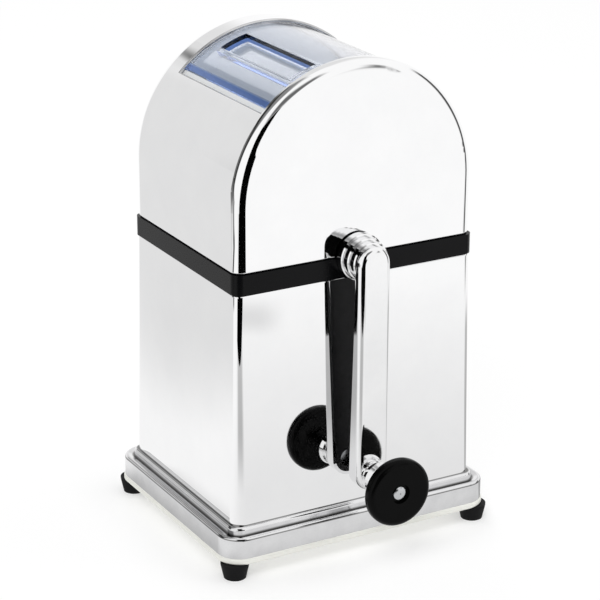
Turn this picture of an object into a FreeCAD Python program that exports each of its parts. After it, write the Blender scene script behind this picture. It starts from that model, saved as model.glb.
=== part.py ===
"""Hand crank ice crusher: an arched housing with a crushing rotor over a container for the ice.

Millimetres, +Z up. The crank is at the front (-Y). The origin is on the surface that the feet
stand on, at the middle of the whole object's footprint, crank included. Every driving size is
a row of the sheet Sizes; the sheet Levels works out the heights and places that follow.
"""
import FreeCAD, Part
import math
import os
import re

import Sketcher
from FreeCAD import Placement, Rotation, Vector

doc = FreeCAD.newDocument("IceCrusher")

# ---------------------------------------------------------------- driving sizes

SIZES = {
    # whole body
    "body_width": 138.0,
    "body_depth": 112.5,
    "body_corner": 4.0,
    "least_corner": 1.0,
    "shell_wall": 1.8,
    "hem_radius": 1.2,
    "fit_gap": 0.3,
    # feet and base
    "foot_height": 8.5,
    "foot_top_radius": 7.4,
    "foot_bottom_radius": 5.8,
    "foot_inset": 7.4,
    "base_overhang": 10.6,
    "base_thickness": 3.3,
    "base_corner": 13.5,
    "plinth_overhang": 9.8,
    "plinth_height": 11.4,
    "plinth_corner": 12.4,
    "plinth_wall": 2.4,
    "plinth_round": 1.6,
    "shoulder_width": 2.0,
    "gutter_depth": 1.3,
    "bead_overhang": 4.4,
    "bead_corner": 6.5,
    "bead_height": 3.5,
    "bead_round": 2.0,
    "ledge_width": 4.0,
    # container
    "container_height": 123.7,
    "container_flare": 2.3,
    "floor_thickness": 3.0,
    "bin_top_gap": 11.1,
    "bin_wall": 2.0,
    "bin_gap": 1.0,
    "bin_taper": 2.0,
    # mechanism frame
    "band_height": 10.5,
    "band_proud": 0.7,
    "spigot_height": 5.0,
    "spigot_wall": 2.2,
    "deck_thickness": 3.0,
    "deck_drop": 4.0,
    "chamber_width": 64.0,
    "chamber_length": 84.0,
    "chamber_wall": 3.0,
    "chamber_drop": 35.0,
    "chamber_rise": 26.0,
    "flange_width": 8.0,
    "flange_thickness": 3.0,
    "boss_radius": 11.0,
    "rear_boss_length": 5.0,
    # upper housing, window and lid
    "side_height": 31.6,
    "arch_fillet": 5.8,
    "window_angle": 47.4,
    "window_front_rim": 7.0,
    "window_rear_rim": 16.5,
    "post_inset": 11.0,
    "lid_thickness": 3.0,
    "lid_margin": 1.2,
    "lid_left_angle": 44.0,
    "lid_right_angle": 50.5,
    "lid_travel": 50.0,
    "grip_angle": 3.2,
    "grip_height": 1.2,
    "recess_near_angle": 13.5,
    "recess_angle": 13.6,
    "recess_length": 72.0,
    "recess_depth": 4.5,
    "recess_wall": 2.0,
    # hopper
    "hopper_wall": 2.5,
    "hopper_mouth_angle": 44.5,
    "rail_height": 6.0,
    "rail_reach_angle": 88.0,
    "sill_angle": 6.0,
    # rotor
    "axle_rise": 0.1,
    "journal_radius": 5.0,
    "running_gap": 0.05,
    "bush_radius": 7.0,
    "bush_flange_radius": 9.5,
    "bush_flange": 1.5,
    "hex_flats": 8.6,
    "hex_gap": 0.05,
    "wheel_count": 6,
    "end_spacer_length": 3.45,
    "wheel_thickness": 3.5,
    "wheel_tip_radius": 23.5,
    "wheel_root_radius": 11.0,
    "tooth_count": 4,
    "spacer_radius": 8.5,
    "clip_radius": 7.5,
    "clip_thickness": 1.2,
    "clip_groove_depth": 0.9,
    "washer_radius": 8.5,
    "washer_thickness": 1.0,
    # comb
    "comb_plate": 2.5,
    "comb_height": 34.0,
    "comb_drop": 5.0,
    "finger_thickness": 4.0,
    "finger_rise": 3.0,
    "finger_reach": 21.0,
    # crank
    "crank_reach": 46.0,
    "hub_radius": 12.2,
    "hub_step": 1.0,
    "hub_gap": 0.5,
    "knob_height": 47.2,
    "arm_width": 18.2,
    "arm_front": 19.2,
    "arm_thin": 4.8,
    "arm_thick": 9.2,
    "arm_skin": 1.6,
    "arm_round": 3.2,
    "spindle_radius": 3.0,
    "rivet_head_radius": 3.5,
    "rivet_head_height": 1.2,
    "collar_radius": 7.8,
    "collar_bulge": 1.0,
    "collar_neck_radius": 5.6,
    "knob_radius": 18.0,
    "knob_thickness": 7.5,
    "knob_round": 3.0,
    "knob_recess_radius": 5.2,
    "knob_recess_depth": 1.8,
    # small screws
    "screw_radius": 1.5,
    "screw_head_radius": 3.0,
    "screw_head_height": 2.0,
    "screw_gap": 0.2,
}

# ---------------------------------------------------------------- places that follow

LEVELS = {
    "half_width": "body_width / 2",
    "half_depth": "body_depth / 2",
    "body_centre_y": "(crank_reach - base_overhang) / 2",
    "plinth_bottom": "foot_height + base_thickness",
    "plinth_top": "plinth_bottom + plinth_height",
    "gutter_bottom": "plinth_top - gutter_depth",
    "plinth_under": "gutter_bottom - plinth_wall",
    "bead_top": "plinth_top + bead_height",
    "container_top": "bead_top + container_height",
    "floor_top": "bead_top + floor_thickness",
    "deck_bottom": "container_top - deck_drop",
    "deck_top": "deck_bottom + deck_thickness",
    "bin_height": "deck_bottom - bin_top_gap - floor_top",
    "band_top": "container_top + band_height",
    "axle_height": "band_top + axle_rise",
    "arm_length": "axle_height - knob_height",
    "spring_height": "band_top + side_height",
    "chamber_bottom": "axle_height - chamber_drop",
    "chamber_top": "axle_height + chamber_rise",
    "ear_x": "chamber_width / 2 + chamber_wall + flange_width / 2",
    "ear_y": "chamber_length / 3",
    "foot_x": "half_width + base_overhang - foot_inset",
    "foot_y": "half_depth + base_overhang - foot_inset",
    "floor_screw_x": "half_width - ledge_width / 2 - 0.2",
    "floor_screw_y": "half_depth / 2",
    "spigot_offset": "shell_wall + fit_gap",
    "lid_outer_radius": "half_width - shell_wall - fit_gap",
    "lid_inner_radius": "lid_outer_radius - lid_thickness",
    "rail_radius": "lid_inner_radius - fit_gap",
    "lid_front": "window_front_rim - lid_margin",
    "lid_rear": "body_depth - window_rear_rim + lid_margin",
    "window_middle": "(window_front_rim + body_depth - window_rear_rim) / 2",
    "post_x": "half_width - post_inset",
    "post_y": "half_depth - 16",
    "post_top":
        "spring_height - lid_outer_radius * sin((lid_right_angle + lid_travel - 90) * 1 deg) - 2",
    "tub_radius": "lid_outer_radius - recess_depth - recess_wall",
    "face_y": "0 - half_depth",
    "hub_back": "face_y - band_proud - hub_gap",
    "arm_face": "face_y - arm_front",
    "arm_back": "arm_face + arm_thin",
    "hub_ring_length": "(hub_back - arm_back) / 3",
    "knob_face": "face_y - crank_reach",
    "knob_back": "knob_face + knob_thickness",
    "comb_length": "chamber_length - 2 * bush_flange - 2",
    "comb_screw_span": "comb_height * 0.36",
    "comb_screw_drop": "comb_height * 0.18",
    "shaft_front": "arm_face + arm_skin + fit_gap",
    "shaft_rear": "half_depth - spigot_offset - spigot_wall - 0.5",
    "rear_boss_end": "chamber_length / 2 + rear_boss_length",
    "front_boss_end": "half_depth - spigot_offset",
    "hex_half": "chamber_length / 2 - bush_flange - fit_gap",
    "wheel_pitch": "(2 * (hex_half - end_spacer_length) - wheel_thickness) / (wheel_count - 1)",
    "wheel_first": "0 - wheel_pitch * (wheel_count - 1) / 2",
}


def fill_sheet(name, rows):
    """Make a sheet with one aliased row for each entry."""
    sheet = doc.addObject("Spreadsheet::Sheet", name)
    for number, (alias, content) in enumerate(rows.items(), start=1):
        sheet.set(f"A{number}", alias)
        sheet.set(f"B{number}", str(content))
        sheet.setAlias(f"B{number}", alias)
    doc.recompute()
    return sheet


def full(expression):
    """Write the sheet's name before every alias of an expression."""
    def prefixed(match):
        word = match.group(0)
        if word in SIZES:
            return "Sizes." + word
        if word in LEVELS:
            return "Levels." + word
        return word
    return re.sub(r"[a-z_]+", prefixed, str(expression))


sizes = fill_sheet("Sizes", SIZES)
levels = fill_sheet("Levels", {name: "=" + full(rule) for name, rule in LEVELS.items()})
doc.recompute()


def value(expression):
    """The number that an expression gives with the sheets as they are."""
    result = sizes.evalExpression(full(expression))
    return float(getattr(result, "Value", result))


def bind(thing, path, expression):
    """Tie a property or a sketch constraint to the sheets."""
    thing.setExpression(path, full(expression))


# ---------------------------------------------------------------- sketches

kept = []


def new_body(name, x="0", y="body_centre_y", z="0"):
    """A body for one node, placed by expressions."""
    body = doc.addObject("PartDesign::Body", "Body_" + name)
    body.Label = name
    for letter, expression in zip("xyz", (x, y, z)):
        bind(body, "Placement.Base." + letter, expression)
    kept.append(body)
    return body


def new_sketch(body, plane, height="0", up="0"):
    """A sketch on an origin plane, moved along its normal and, if asked, up its own Y axis."""
    sketch = body.newObject("Sketcher::SketchObject", "Sketch")
    support = [item for item in body.Origin.OriginFeatures if item.Role == plane][0]
    sketch.AttachmentSupport = [(support, "")]
    sketch.MapMode = "FlatFace"
    bind(sketch, "AttachmentOffset.Base.z", height)
    bind(sketch, "AttachmentOffset.Base.y", up)
    return sketch


def flat_sketch(body, level):
    """A sketch that lies flat at a level."""
    return new_sketch(body, "XY_Plane", level)


def upright_sketch(body, rear, up="0"):
    """A sketch in the X-Z plane at a depth; a pad of it runs forwards and a pocket backwards."""
    return new_sketch(body, "XZ_Plane", f"-({rear})", up)


def side_sketch(body, right="0"):
    """A sketch in the Y-Z plane."""
    return new_sketch(body, "YZ_Plane", right)


def dimension(sketch, kind, first, expression, second=None):
    """A distance from the sketch's origin, or between two points, tied to the sheets."""
    start = (-1, 1) if second is None else first
    end = first if second is None else second
    index = sketch.addConstraint(Sketcher.Constraint(kind, *start, *end, value(expression)))
    bind(sketch, f"Constraints[{index}]", expression)


def polygon(sketch, points):
    """A closed outline whose corners are pairs of expressions."""
    places = [Vector(value(x), value(y), 0) for x, y in points]
    count = len(points)
    first = sketch.GeometryCount
    for number in range(count):
        sketch.addGeometry(Part.LineSegment(places[number], places[(number + 1) % count]))
    for number, (x, y) in enumerate(points):
        line = first + number
        sketch.addConstraint(Sketcher.Constraint("Coincident", line, 2, first + (number + 1) % count, 1))
        dimension(sketch, "DistanceX", (line, 1), x)
        dimension(sketch, "DistanceY", (line, 1), y)
    return sketch


def rectangle(sketch, width, depth, middle="0"):
    """A sharp rectangle centred across, with its middle at a distance up the sketch."""
    return polygon(sketch, [
        (f"-({width}) / 2", f"{middle} - ({depth}) / 2"),
        (f"({width}) / 2", f"{middle} - ({depth}) / 2"),
        (f"({width}) / 2", f"{middle} + ({depth}) / 2"),
        (f"-({width}) / 2", f"{middle} + ({depth}) / 2"),
    ])


def rounded_rectangle(sketch, width, depth, radius):
    """A rectangle with rounded corners, centred on the sketch's origin."""
    right = value(width) / 2
    top = value(depth) / 2
    corner = value(radius)
    inner_x = right - corner
    inner_y = top - corner
    runs = [
        (Vector(-inner_x, -top, 0), Vector(inner_x, -top, 0)),
        (Vector(right, -inner_y, 0), Vector(right, inner_y, 0)),
        (Vector(inner_x, top, 0), Vector(-inner_x, top, 0)),
        (Vector(-right, inner_y, 0), Vector(-right, -inner_y, 0)),
    ]
    centres = [(inner_x, -inner_y), (inner_x, inner_y), (-inner_x, inner_y), (-inner_x, -inner_y)]
    for start, end in runs:
        sketch.addGeometry(Part.LineSegment(start, end))
    for number, (x, y) in enumerate(centres):
        circle = Part.Circle(Vector(x, y, 0), Vector(0, 0, 1), corner)
        start = math.radians(90 * (number - 1))
        sketch.addGeometry(Part.ArcOfCircle(circle, start, start + math.pi / 2))
    rules = [Sketcher.Constraint("Horizontal", 0), Sketcher.Constraint("Horizontal", 2)]
    rules += [Sketcher.Constraint("Vertical", 1), Sketcher.Constraint("Vertical", 3)]
    for number in range(4):
        rules.append(Sketcher.Constraint("Tangent", number, 2, 4 + number, 1))
        rules.append(Sketcher.Constraint("Tangent", 4 + number, 2, (number + 1) % 4, 1))
    for number in (5, 6, 7):
        rules.append(Sketcher.Constraint("Equal", 4, number))
    rules.append(Sketcher.Constraint("Symmetric", 4, 3, 6, 3, -1, 1))
    sketch.addConstraint(rules)
    dimension(sketch, "DistanceX", (3, 1), width, (1, 1))
    dimension(sketch, "DistanceY", (0, 1), depth, (2, 1))
    index = sketch.addConstraint(Sketcher.Constraint("Radius", 4, corner))
    bind(sketch, f"Constraints[{index}]", radius)
    return sketch


def circle(sketch, radius, x="0", y="0"):
    """A circle with its centre and radius tied to the sheets."""
    number = sketch.GeometryCount
    centre = Vector(value(x), value(y), 0)
    sketch.addGeometry(Part.Circle(centre, Vector(0, 0, 1), value(radius)))
    dimension(sketch, "DistanceX", (number, 3), x)
    dimension(sketch, "DistanceY", (number, 3), y)
    index = sketch.addConstraint(Sketcher.Constraint("Radius", number, value(radius)))
    bind(sketch, f"Constraints[{index}]", radius)
    return sketch


def hexagon(sketch, flats):
    """A hexagon with two of its sides upright, by its width across flats."""
    corners = []
    for number in range(6):
        angle = 30 + 60 * number
        corners.append((f"({flats}) / 2 / cos(30 deg) * cos({angle} deg)",
                        f"({flats}) / 2 / cos(30 deg) * sin({angle} deg)"))
    return polygon(sketch, corners)


def arch_outline(sketch, half, bottom, spring):
    """Two straight sides from the bottom up to the springing, closed by a half circle."""
    wide = value(half)
    low = value(bottom)
    high = value(spring)
    sketch.addGeometry(Part.LineSegment(Vector(-wide, low, 0), Vector(wide, low, 0)))
    sketch.addGeometry(Part.LineSegment(Vector(wide, low, 0), Vector(wide, high, 0)))
    arc = Part.Circle(Vector(0, high, 0), Vector(0, 0, 1), wide)
    sketch.addGeometry(Part.ArcOfCircle(arc, 0, math.pi))
    sketch.addGeometry(Part.LineSegment(Vector(-wide, high, 0), Vector(-wide, low, 0)))
    sketch.addConstraint([
        Sketcher.Constraint("Coincident", 0, 2, 1, 1),
        Sketcher.Constraint("Tangent", 1, 2, 2, 1),
        Sketcher.Constraint("Tangent", 2, 2, 3, 1),
        Sketcher.Constraint("Coincident", 3, 2, 0, 1),
        Sketcher.Constraint("Horizontal", 0),
        Sketcher.Constraint("Vertical", 1),
        Sketcher.Constraint("Vertical", 3),
    ])
    dimension(sketch, "DistanceX", (0, 1), f"-({half})")
    dimension(sketch, "DistanceY", (0, 1), bottom)
    dimension(sketch, "DistanceX", (0, 2), half)
    dimension(sketch, "DistanceY", (2, 3), spring)
    return sketch


def ring_sector(sketch, inner, outer, start, end):
    """A piece of a ring about the sketch's origin, between two angles from the upright, left positive."""
    low = math.radians(90 + value(start))
    high = math.radians(90 + value(end))
    flat = Vector(0, 0, 1)
    outer_arc, inner_arc, start_line, end_line = range(4)
    for radius in (outer, inner):
        sketch.addGeometry(Part.ArcOfCircle(Part.Circle(Vector(), flat, value(radius)), low, high))
    for turn in (low, high):
        outwards = Vector(math.cos(turn), math.sin(turn), 0)
        sketch.addGeometry(Part.LineSegment(outwards * value(inner), outwards * value(outer)))
    for line, end_number in ((start_line, 1), (end_line, 2)):
        sketch.addConstraint([
            Sketcher.Constraint("Coincident", line, 1, inner_arc, end_number),
            Sketcher.Constraint("Coincident", line, 2, outer_arc, end_number),
            Sketcher.Constraint("PointOnObject", -1, 1, line),
        ])
    for arc, radius in ((outer_arc, outer), (inner_arc, inner)):
        sketch.addConstraint(Sketcher.Constraint("Coincident", arc, 3, -1, 1))
        index = sketch.addConstraint(Sketcher.Constraint("Radius", arc, value(radius)))
        bind(sketch, f"Constraints[{index}]", radius)
    for line, turn, angle in ((start_line, low, start), (end_line, high, end)):
        index = sketch.addConstraint(Sketcher.Constraint("Angle", line, turn))
        bind(sketch, f"Constraints[{index}]", f"(90 + ({angle})) * 1 deg")
    return sketch


def obround(sketch, width, length, top="0"):
    """Two half circles joined by straight sides, hanging down the sketch from its origin."""
    half = value(width) / 2
    low = value(top) - value(length)
    high = value(top)
    flat = Vector(0, 0, 1)
    sketch.addGeometry(Part.ArcOfCircle(Part.Circle(Vector(0, high, 0), flat, half), 0, math.pi))
    sketch.addGeometry(Part.LineSegment(Vector(-half, high, 0), Vector(-half, low, 0)))
    sketch.addGeometry(Part.ArcOfCircle(Part.Circle(Vector(0, low, 0), flat, half), math.pi, 2 * math.pi))
    sketch.addGeometry(Part.LineSegment(Vector(half, low, 0), Vector(half, high, 0)))
    for number in range(4):
        sketch.addConstraint(Sketcher.Constraint("Tangent", number, 2, (number + 1) % 4, 1))
    sketch.addConstraint(Sketcher.Constraint("Vertical", 1))
    dimension(sketch, "DistanceX", (0, 3), "0")
    dimension(sketch, "DistanceY", (0, 3), top)
    dimension(sketch, "DistanceY", (2, 3), f"{top} - ({length})")
    index = sketch.addConstraint(Sketcher.Constraint("Radius", 0, half))
    bind(sketch, f"Constraints[{index}]", f"({width}) / 2")
    return sketch


# ---------------------------------------------------------------- features

def pad(body, sketch, length, taper=None):
    """Add a sketch's outline along its normal."""
    feature = body.newObject("PartDesign::Pad", "Pad")
    feature.Profile = sketch
    bind(feature, "Length", length)
    if taper is not None:
        bind(feature, "TaperAngle", taper)
    return feature


def pocket(body, sketch, length, upwards_taper=None):
    """Cut a sketch's outline against its normal, or along it with a taper; check that it cut."""
    doc.recompute()
    before = body.Shape.Volume
    feature = body.newObject("PartDesign::Pocket", "Pocket")
    feature.Profile = sketch
    bind(feature, "Length", length)
    if upwards_taper is not None:
        feature.Reversed = True
        bind(feature, "TaperAngle", upwards_taper)
    doc.recompute()
    if body.Shape.Volume > before - 0.01:
        raise ValueError(f"{body.Label}: a pocket cut nothing")
    return feature


def loft(body, first, second):
    """Join two outlines with straight walls."""
    feature = body.newObject("PartDesign::AdditiveLoft", "Loft")
    feature.Profile = first
    feature.Sections = [second]
    feature.Ruled = True
    return feature


def cutting_body(name):
    """A body that is only used to cut another; it is drawn in the other body's frame."""
    tool = doc.addObject("PartDesign::Body", name)
    return tool


def cut_away(body, tool):
    """Take a cutting body out of a body, and check that something was cut."""
    doc.recompute()
    before = body.Shape.Volume
    feature = body.newObject("PartDesign::Boolean", "CutAway")
    feature.Type = "Cut"
    feature.setObjects([tool])
    doc.recompute()
    if body.Shape.Volume > before - 0.01:
        raise ValueError(f"{body.Label}: {tool.Name} cut nothing")
    return feature


def revolve(body, sketch, axis, cut=False):
    """Turn an outline once round the sketch's own H_Axis or V_Axis."""
    kind = "PartDesign::Groove" if cut else "PartDesign::Revolution"
    feature = body.newObject(kind, "Turned")
    feature.Profile = sketch
    feature.ReferenceAxis = (sketch, [axis])
    feature.Angle = 360
    return feature


def edges_where(body, test):
    """Names of the edges of a body, in its own frame, that pass a test of their bounding box."""
    doc.recompute()
    edges = enumerate(body.Tip.Shape.Edges, start=1)
    return [f"Edge{number}" for number, edge in edges if test(edge.BoundBox, edge)]


def ease_edges(body, kind, size_name, size, test):
    """Fillet or chamfer the edges that pass a test, and check that there are some."""
    names = edges_where(body, test)
    if not names:
        raise ValueError(f"{body.Label}: no edge for a {kind}")
    base = body.Tip
    feature = body.newObject("PartDesign::" + kind, kind)
    feature.Base = (base, names)
    bind(feature, size_name, size)
    return feature


def fillet(body, radius, test):
    """Round the edges that pass a test."""
    return ease_edges(body, "Fillet", "Radius", radius, test)


def chamfer(body, size, test):
    """Bevel the edges that pass a test."""
    return ease_edges(body, "Chamfer", "Size", size, test)


def at_height(box, level):
    """Whether a box lies flat at a level."""
    return abs(box.ZMin - level) < 0.01 and abs(box.ZMax - level) < 0.01


def at_depth(box, place):
    """Whether a box lies upright at a depth."""
    return abs(box.YMin - place) < 0.01 and abs(box.YMax - place) < 0.01


def corners(x, y):
    """The four corner places of a rectangle, as pairs of expressions."""
    return [(f"{sign_x}({x})", f"{sign_y}({y})") for sign_x in ("-", "") for sign_y in ("-", "")]


def turned(name, outline, place, axis="along Y"):
    """A body turned about Y through its own origin, or about Z."""
    body = new_body(name, *place)
    if axis == "along Y":
        revolve(body, polygon(side_sketch(body), outline), "H_Axis")
    else:
        revolve(body, polygon(upright_sketch(body, "0"), outline), "V_Axis")
    return body


def screws(name, places, seat, length, direction="up"):
    """One node of like hexagon screws; each has its head on one side of the seat and its shank beyond."""
    turn = {"up": Rotation(), "down": Rotation(Vector(1, 0, 0), 180),
            "right": Rotation(Vector(0, 1, 0), 90), "left": Rotation(Vector(0, 1, 0), -90)}[direction]
    solids = []
    for x, y, z in places:
        head = doc.addObject("Part::Prism", "ScrewHead")
        head.Polygon = 6
        bind(head, "Circumradius", "screw_head_radius")
        bind(head, "Height", "screw_head_height")
        bind(head, "Placement.Base.z", "-screw_head_height")
        shank = doc.addObject("Part::Cylinder", "ScrewShank")
        bind(shank, "Radius", "screw_radius")
        bind(shank, "Height", length)
        screw = doc.addObject("Part::MultiFuse", "Screw")
        screw.Shapes = [head, shank]
        screw.Placement = Placement(Vector(), turn)
        for letter, expression in zip("xyz", (x, y, z)):
            bind(screw, "Placement.Base." + letter, expression)
        solids.append(screw)
    group = doc.addObject("Part::Compound", "Group_" + name)
    group.Label = name
    group.Links = solids
    bind(group, "Placement.Base.z", seat)
    kept.append(group)
    return group


def grown(expression, offset):
    """A full width made wider by an offset on each side."""
    return f"{expression} + 2 * ({offset})"


def body_outline(sketch, offset):
    """The body's rounded outline, moved outwards all round."""
    return rounded_rectangle(sketch, grown("body_width", offset), grown("body_depth", offset),
                             f"max(body_corner + ({offset}); least_corner)")


# ---------------------------------------------------------------- base: feet, plate, plinth

def make_base_plate():
    """Moulded plate that carries the feet; its rim shows under the plinth."""
    body = new_body("base_plate")
    outline = rounded_rectangle(flat_sketch(body, "foot_height"), grown("body_width", "base_overhang"),
                                grown("body_depth", "base_overhang"), "base_corner")
    pad(body, outline, "base_thickness")
    chamfer(body, "base_thickness / 4", lambda box, edge: box.ZLength < 0.01)
    holes = flat_sketch(body, "plinth_bottom")
    for x, y in corners("foot_x", "foot_y"):
        circle(holes, "screw_radius + screw_gap", x, y)
    pocket(body, holes, "base_thickness")


def make_plinth():
    """Plated hollow moulding: a tall side, a shoulder that slopes in to a gutter, and a bead."""
    body = new_body("base_plinth")
    side = rounded_rectangle(flat_sketch(body, "plinth_bottom"), grown("body_width", "plinth_overhang"),
                             grown("body_depth", "plinth_overhang"), "plinth_corner")
    pad(body, side, "plinth_height")
    top = value("plinth_top")
    fillet(body, "plinth_round", lambda box, edge: at_height(box, top))
    slope = "atan((plinth_overhang - shoulder_width - bead_overhang) / gutter_depth)"
    dish = bead_outline(flat_sketch(body, "gutter_bottom"))
    pocket(body, dish, "gutter_depth", slope)
    bead = bead_outline(flat_sketch(body, "gutter_bottom"))
    pad(body, bead, "bead_height + gutter_depth")
    bead_top = value("bead_top")
    fillet(body, "bead_round", lambda box, edge: at_height(box, bead_top))
    cavity = rounded_rectangle(flat_sketch(body, "plinth_under"),
                               grown("body_width", "plinth_overhang - plinth_wall"),
                               grown("body_depth", "plinth_overhang - plinth_wall"),
                               "plinth_corner - plinth_wall")
    pocket(body, cavity, "plinth_under - plinth_bottom")
    opening = body_outline(flat_sketch(body, "bead_top"), "-ledge_width")
    pocket(body, opening, "bead_top - plinth_under")
    posts = flat_sketch(body, "plinth_bottom")
    for x, y in corners("foot_x", "foot_y"):
        circle(posts, "2.5 * screw_radius", x, y)
    pad(body, posts, "plinth_under - plinth_bottom")
    holes = flat_sketch(body, "plinth_bottom + 5")
    for x, y in corners("foot_x", "foot_y"):
        circle(holes, "screw_radius + running_gap", x, y)
    pocket(body, holes, "5")
    ledge = flat_sketch(body, "bead_top")
    for x, y in corners("floor_screw_x", "floor_screw_y"):
        circle(ledge, "screw_radius + screw_gap", x, y)
    pocket(body, ledge, "bead_top - plinth_under")


def bead_outline(sketch):
    """The outline of the bead's foot, where the gutter's floor ends."""
    return rounded_rectangle(sketch, grown("body_width", "bead_overhang"),
                             grown("body_depth", "bead_overhang"), "bead_corner")


def make_feet():
    """Four tapered rubber feet with a counterbore for the screw's head."""
    names = {"front_left": ("-", "-"), "front_right": ("", "-"),
             "rear_left": ("-", ""), "rear_right": ("", "")}
    hole = "screw_radius + screw_gap"
    bore = "screw_head_radius + screw_gap"
    for name, (sign_x, sign_y) in names.items():
        turned("foot_" + name, [
            (hole, "foot_height"), ("foot_top_radius", "foot_height"),
            ("foot_top_radius", "foot_height - 1.2"), ("foot_bottom_radius", "0"),
            (bore, "0"), (bore, "foot_height / 2"), (hole, "foot_height / 2"),
        ], (f"{sign_x}foot_x", f"body_centre_y {sign_y or '+'} foot_y", "0"), "along Z")
    places = [(x, f"body_centre_y + ({y})", "0") for x, y in corners("foot_x", "foot_y")]
    screws("foot_screws", places, "foot_height / 2", "foot_height / 2 + base_thickness + 4")


# ---------------------------------------------------------------- container

def make_lower_housing():
    """Plated four-sided sleeve, a little wider at its foot, with its top edge turned in."""
    body = new_body("lower_housing")
    slant = "-atan(container_flare / container_height)"
    pad(body, body_outline(flat_sketch(body, "bead_top"), "container_flare"), "container_height", slant)
    top = value("container_top")
    fillet(body, "hem_radius", lambda box, edge: at_height(box, top))
    inside = body_outline(flat_sketch(body, "bead_top"), "container_flare - shell_wall")
    pocket(body, inside, "container_height", slant)


def make_container_floor():
    """Plug that closes the container, locates the sleeve and is screwed to the plinth."""
    body = new_body("container_floor")
    plate = body_outline(flat_sketch(body, "bead_top"), "container_flare - shell_wall - fit_gap - 0.1")
    pad(body, plate, "floor_thickness")
    plug = body_outline(flat_sketch(body, "plinth_under"), "-ledge_width - fit_gap")
    pad(body, plug, "bead_top - plinth_under")
    hollow = body_outline(flat_sketch(body, "bead_top - 1"), "-ledge_width - fit_gap - bin_wall")
    pocket(body, hollow, "bead_top - plinth_under - 1")
    holes = flat_sketch(body, "bead_top + floor_thickness - 0.5")
    for x, y in corners("floor_screw_x", "floor_screw_y"):
        circle(holes, "screw_radius + running_gap", x, y)
    pocket(body, holes, "floor_thickness - 0.5")
    places = [(x, f"body_centre_y + ({y})", "0") for x, y in corners("floor_screw_x", "floor_screw_y")]
    screws("floor_screws", places, "plinth_under", "bead_top - plinth_under + 2.2")


def make_ice_bin():
    """Loose tapered bin that catches the ice and lifts out when the head is off."""
    body = new_body("ice_bin")
    slant = "atan(bin_taper / bin_height)"
    foot = "-shell_wall - bin_gap - bin_taper"
    pad(body, body_outline(flat_sketch(body, "floor_top"), foot), "bin_height", slant)
    floor = value("floor_top")
    fillet(body, "bin_wall / 2", lambda box, edge: at_height(box, floor))
    inside = body_outline(flat_sketch(body, "floor_top + bin_wall"), f"{foot} - bin_wall")
    pocket(body, inside, "bin_height", slant)


# ---------------------------------------------------------------- mechanism frame

def make_frame():
    """Black moulding: the band, its locating rims, a deck, the crushing chamber and the bearing bosses."""
    body = new_body("mechanism_frame")
    pad(body, body_outline(flat_sketch(body, "container_top"), "band_proud"), "band_height")
    rim = rounded_rectangle(flat_sketch(body, "container_top - spigot_height"),
                            grown("body_width", "-spigot_offset"), grown("body_depth", "-spigot_offset"),
                            "arch_fillet - spigot_offset")
    pad(body, rim, "band_height + 2 * spigot_height")
    inside = rounded_rectangle(flat_sketch(body, "band_top + spigot_height"),
                               grown("body_width", "-spigot_offset - spigot_wall"),
                               grown("body_depth", "-spigot_offset - spigot_wall"),
                               "arch_fillet - spigot_offset - spigot_wall")
    pocket(body, inside, "band_height + 2 * spigot_height")
    deck = body_outline(flat_sketch(body, "deck_bottom"), "-spigot_offset - spigot_wall / 2")
    pad(body, deck, "deck_thickness")
    tube = rectangle(flat_sketch(body, "chamber_bottom"), grown("chamber_width", "chamber_wall"),
                     grown("chamber_length", "chamber_wall"))
    pad(body, tube, "chamber_top - chamber_bottom")
    flange = rectangle(flat_sketch(body, "chamber_top - flange_thickness"),
                       grown("chamber_width", "chamber_wall + flange_width"),
                       grown("chamber_length", "chamber_wall"))
    pad(body, flange, "flange_thickness")
    front = circle(upright_sketch(body, "-chamber_length / 2", "axle_height"), "boss_radius")
    pad(body, front, "front_boss_end - chamber_length / 2")
    rear = circle(upright_sketch(body, "rear_boss_end", "axle_height"), "boss_radius")
    pad(body, rear, "rear_boss_length")
    opening = rectangle(flat_sketch(body, "chamber_top"), "chamber_width", "chamber_length")
    pocket(body, opening, "chamber_top - chamber_bottom")
    bore = circle(upright_sketch(body, "face_y - 2", "axle_height"), "bush_radius + 0.02")
    pocket(body, bore, "rear_boss_end - face_y + 4")
    holes = flat_sketch(body, "deck_top")
    for x, y in corners("post_x", "post_y"):
        circle(holes, "screw_radius + screw_gap", x, y)
    pocket(body, holes, "deck_thickness")
    ears = flat_sketch(body, "chamber_top")
    for x, y in corners("ear_x", "ear_y"):
        circle(ears, "screw_radius + screw_gap", x, y)
    pocket(body, ears, "flange_thickness")
    wall = side_sketch(body, "chamber_width / 2 + chamber_wall")
    for y, z in corners("chamber_length / 4", "comb_screw_span"):
        circle(wall, "screw_radius + screw_gap", y, f"axle_height - comb_screw_drop + ({z})")
    pocket(body, wall, "chamber_wall")


def make_bushes():
    """Flanged bearing bushes, pressed into the bosses from inside the chamber."""
    bore = "journal_radius + running_gap"
    front_end = "-front_boss_end"
    turned("front_bush", [
        (front_end, bore), (front_end, "bush_radius"), ("-chamber_length / 2", "bush_radius"),
        ("-chamber_length / 2", "bush_flange_radius"),
        ("-chamber_length / 2 + bush_flange", "bush_flange_radius"),
        ("-chamber_length / 2 + bush_flange", bore),
    ], ("0", "body_centre_y", "axle_height"))
    turned("rear_bush", [
        ("chamber_length / 2 - bush_flange", bore),
        ("chamber_length / 2 - bush_flange", "bush_flange_radius"),
        ("chamber_length / 2", "bush_flange_radius"), ("chamber_length / 2", "bush_radius"),
        ("rear_boss_end", "bush_radius"), ("rear_boss_end", bore),
    ], ("0", "body_centre_y", "axle_height"))


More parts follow.
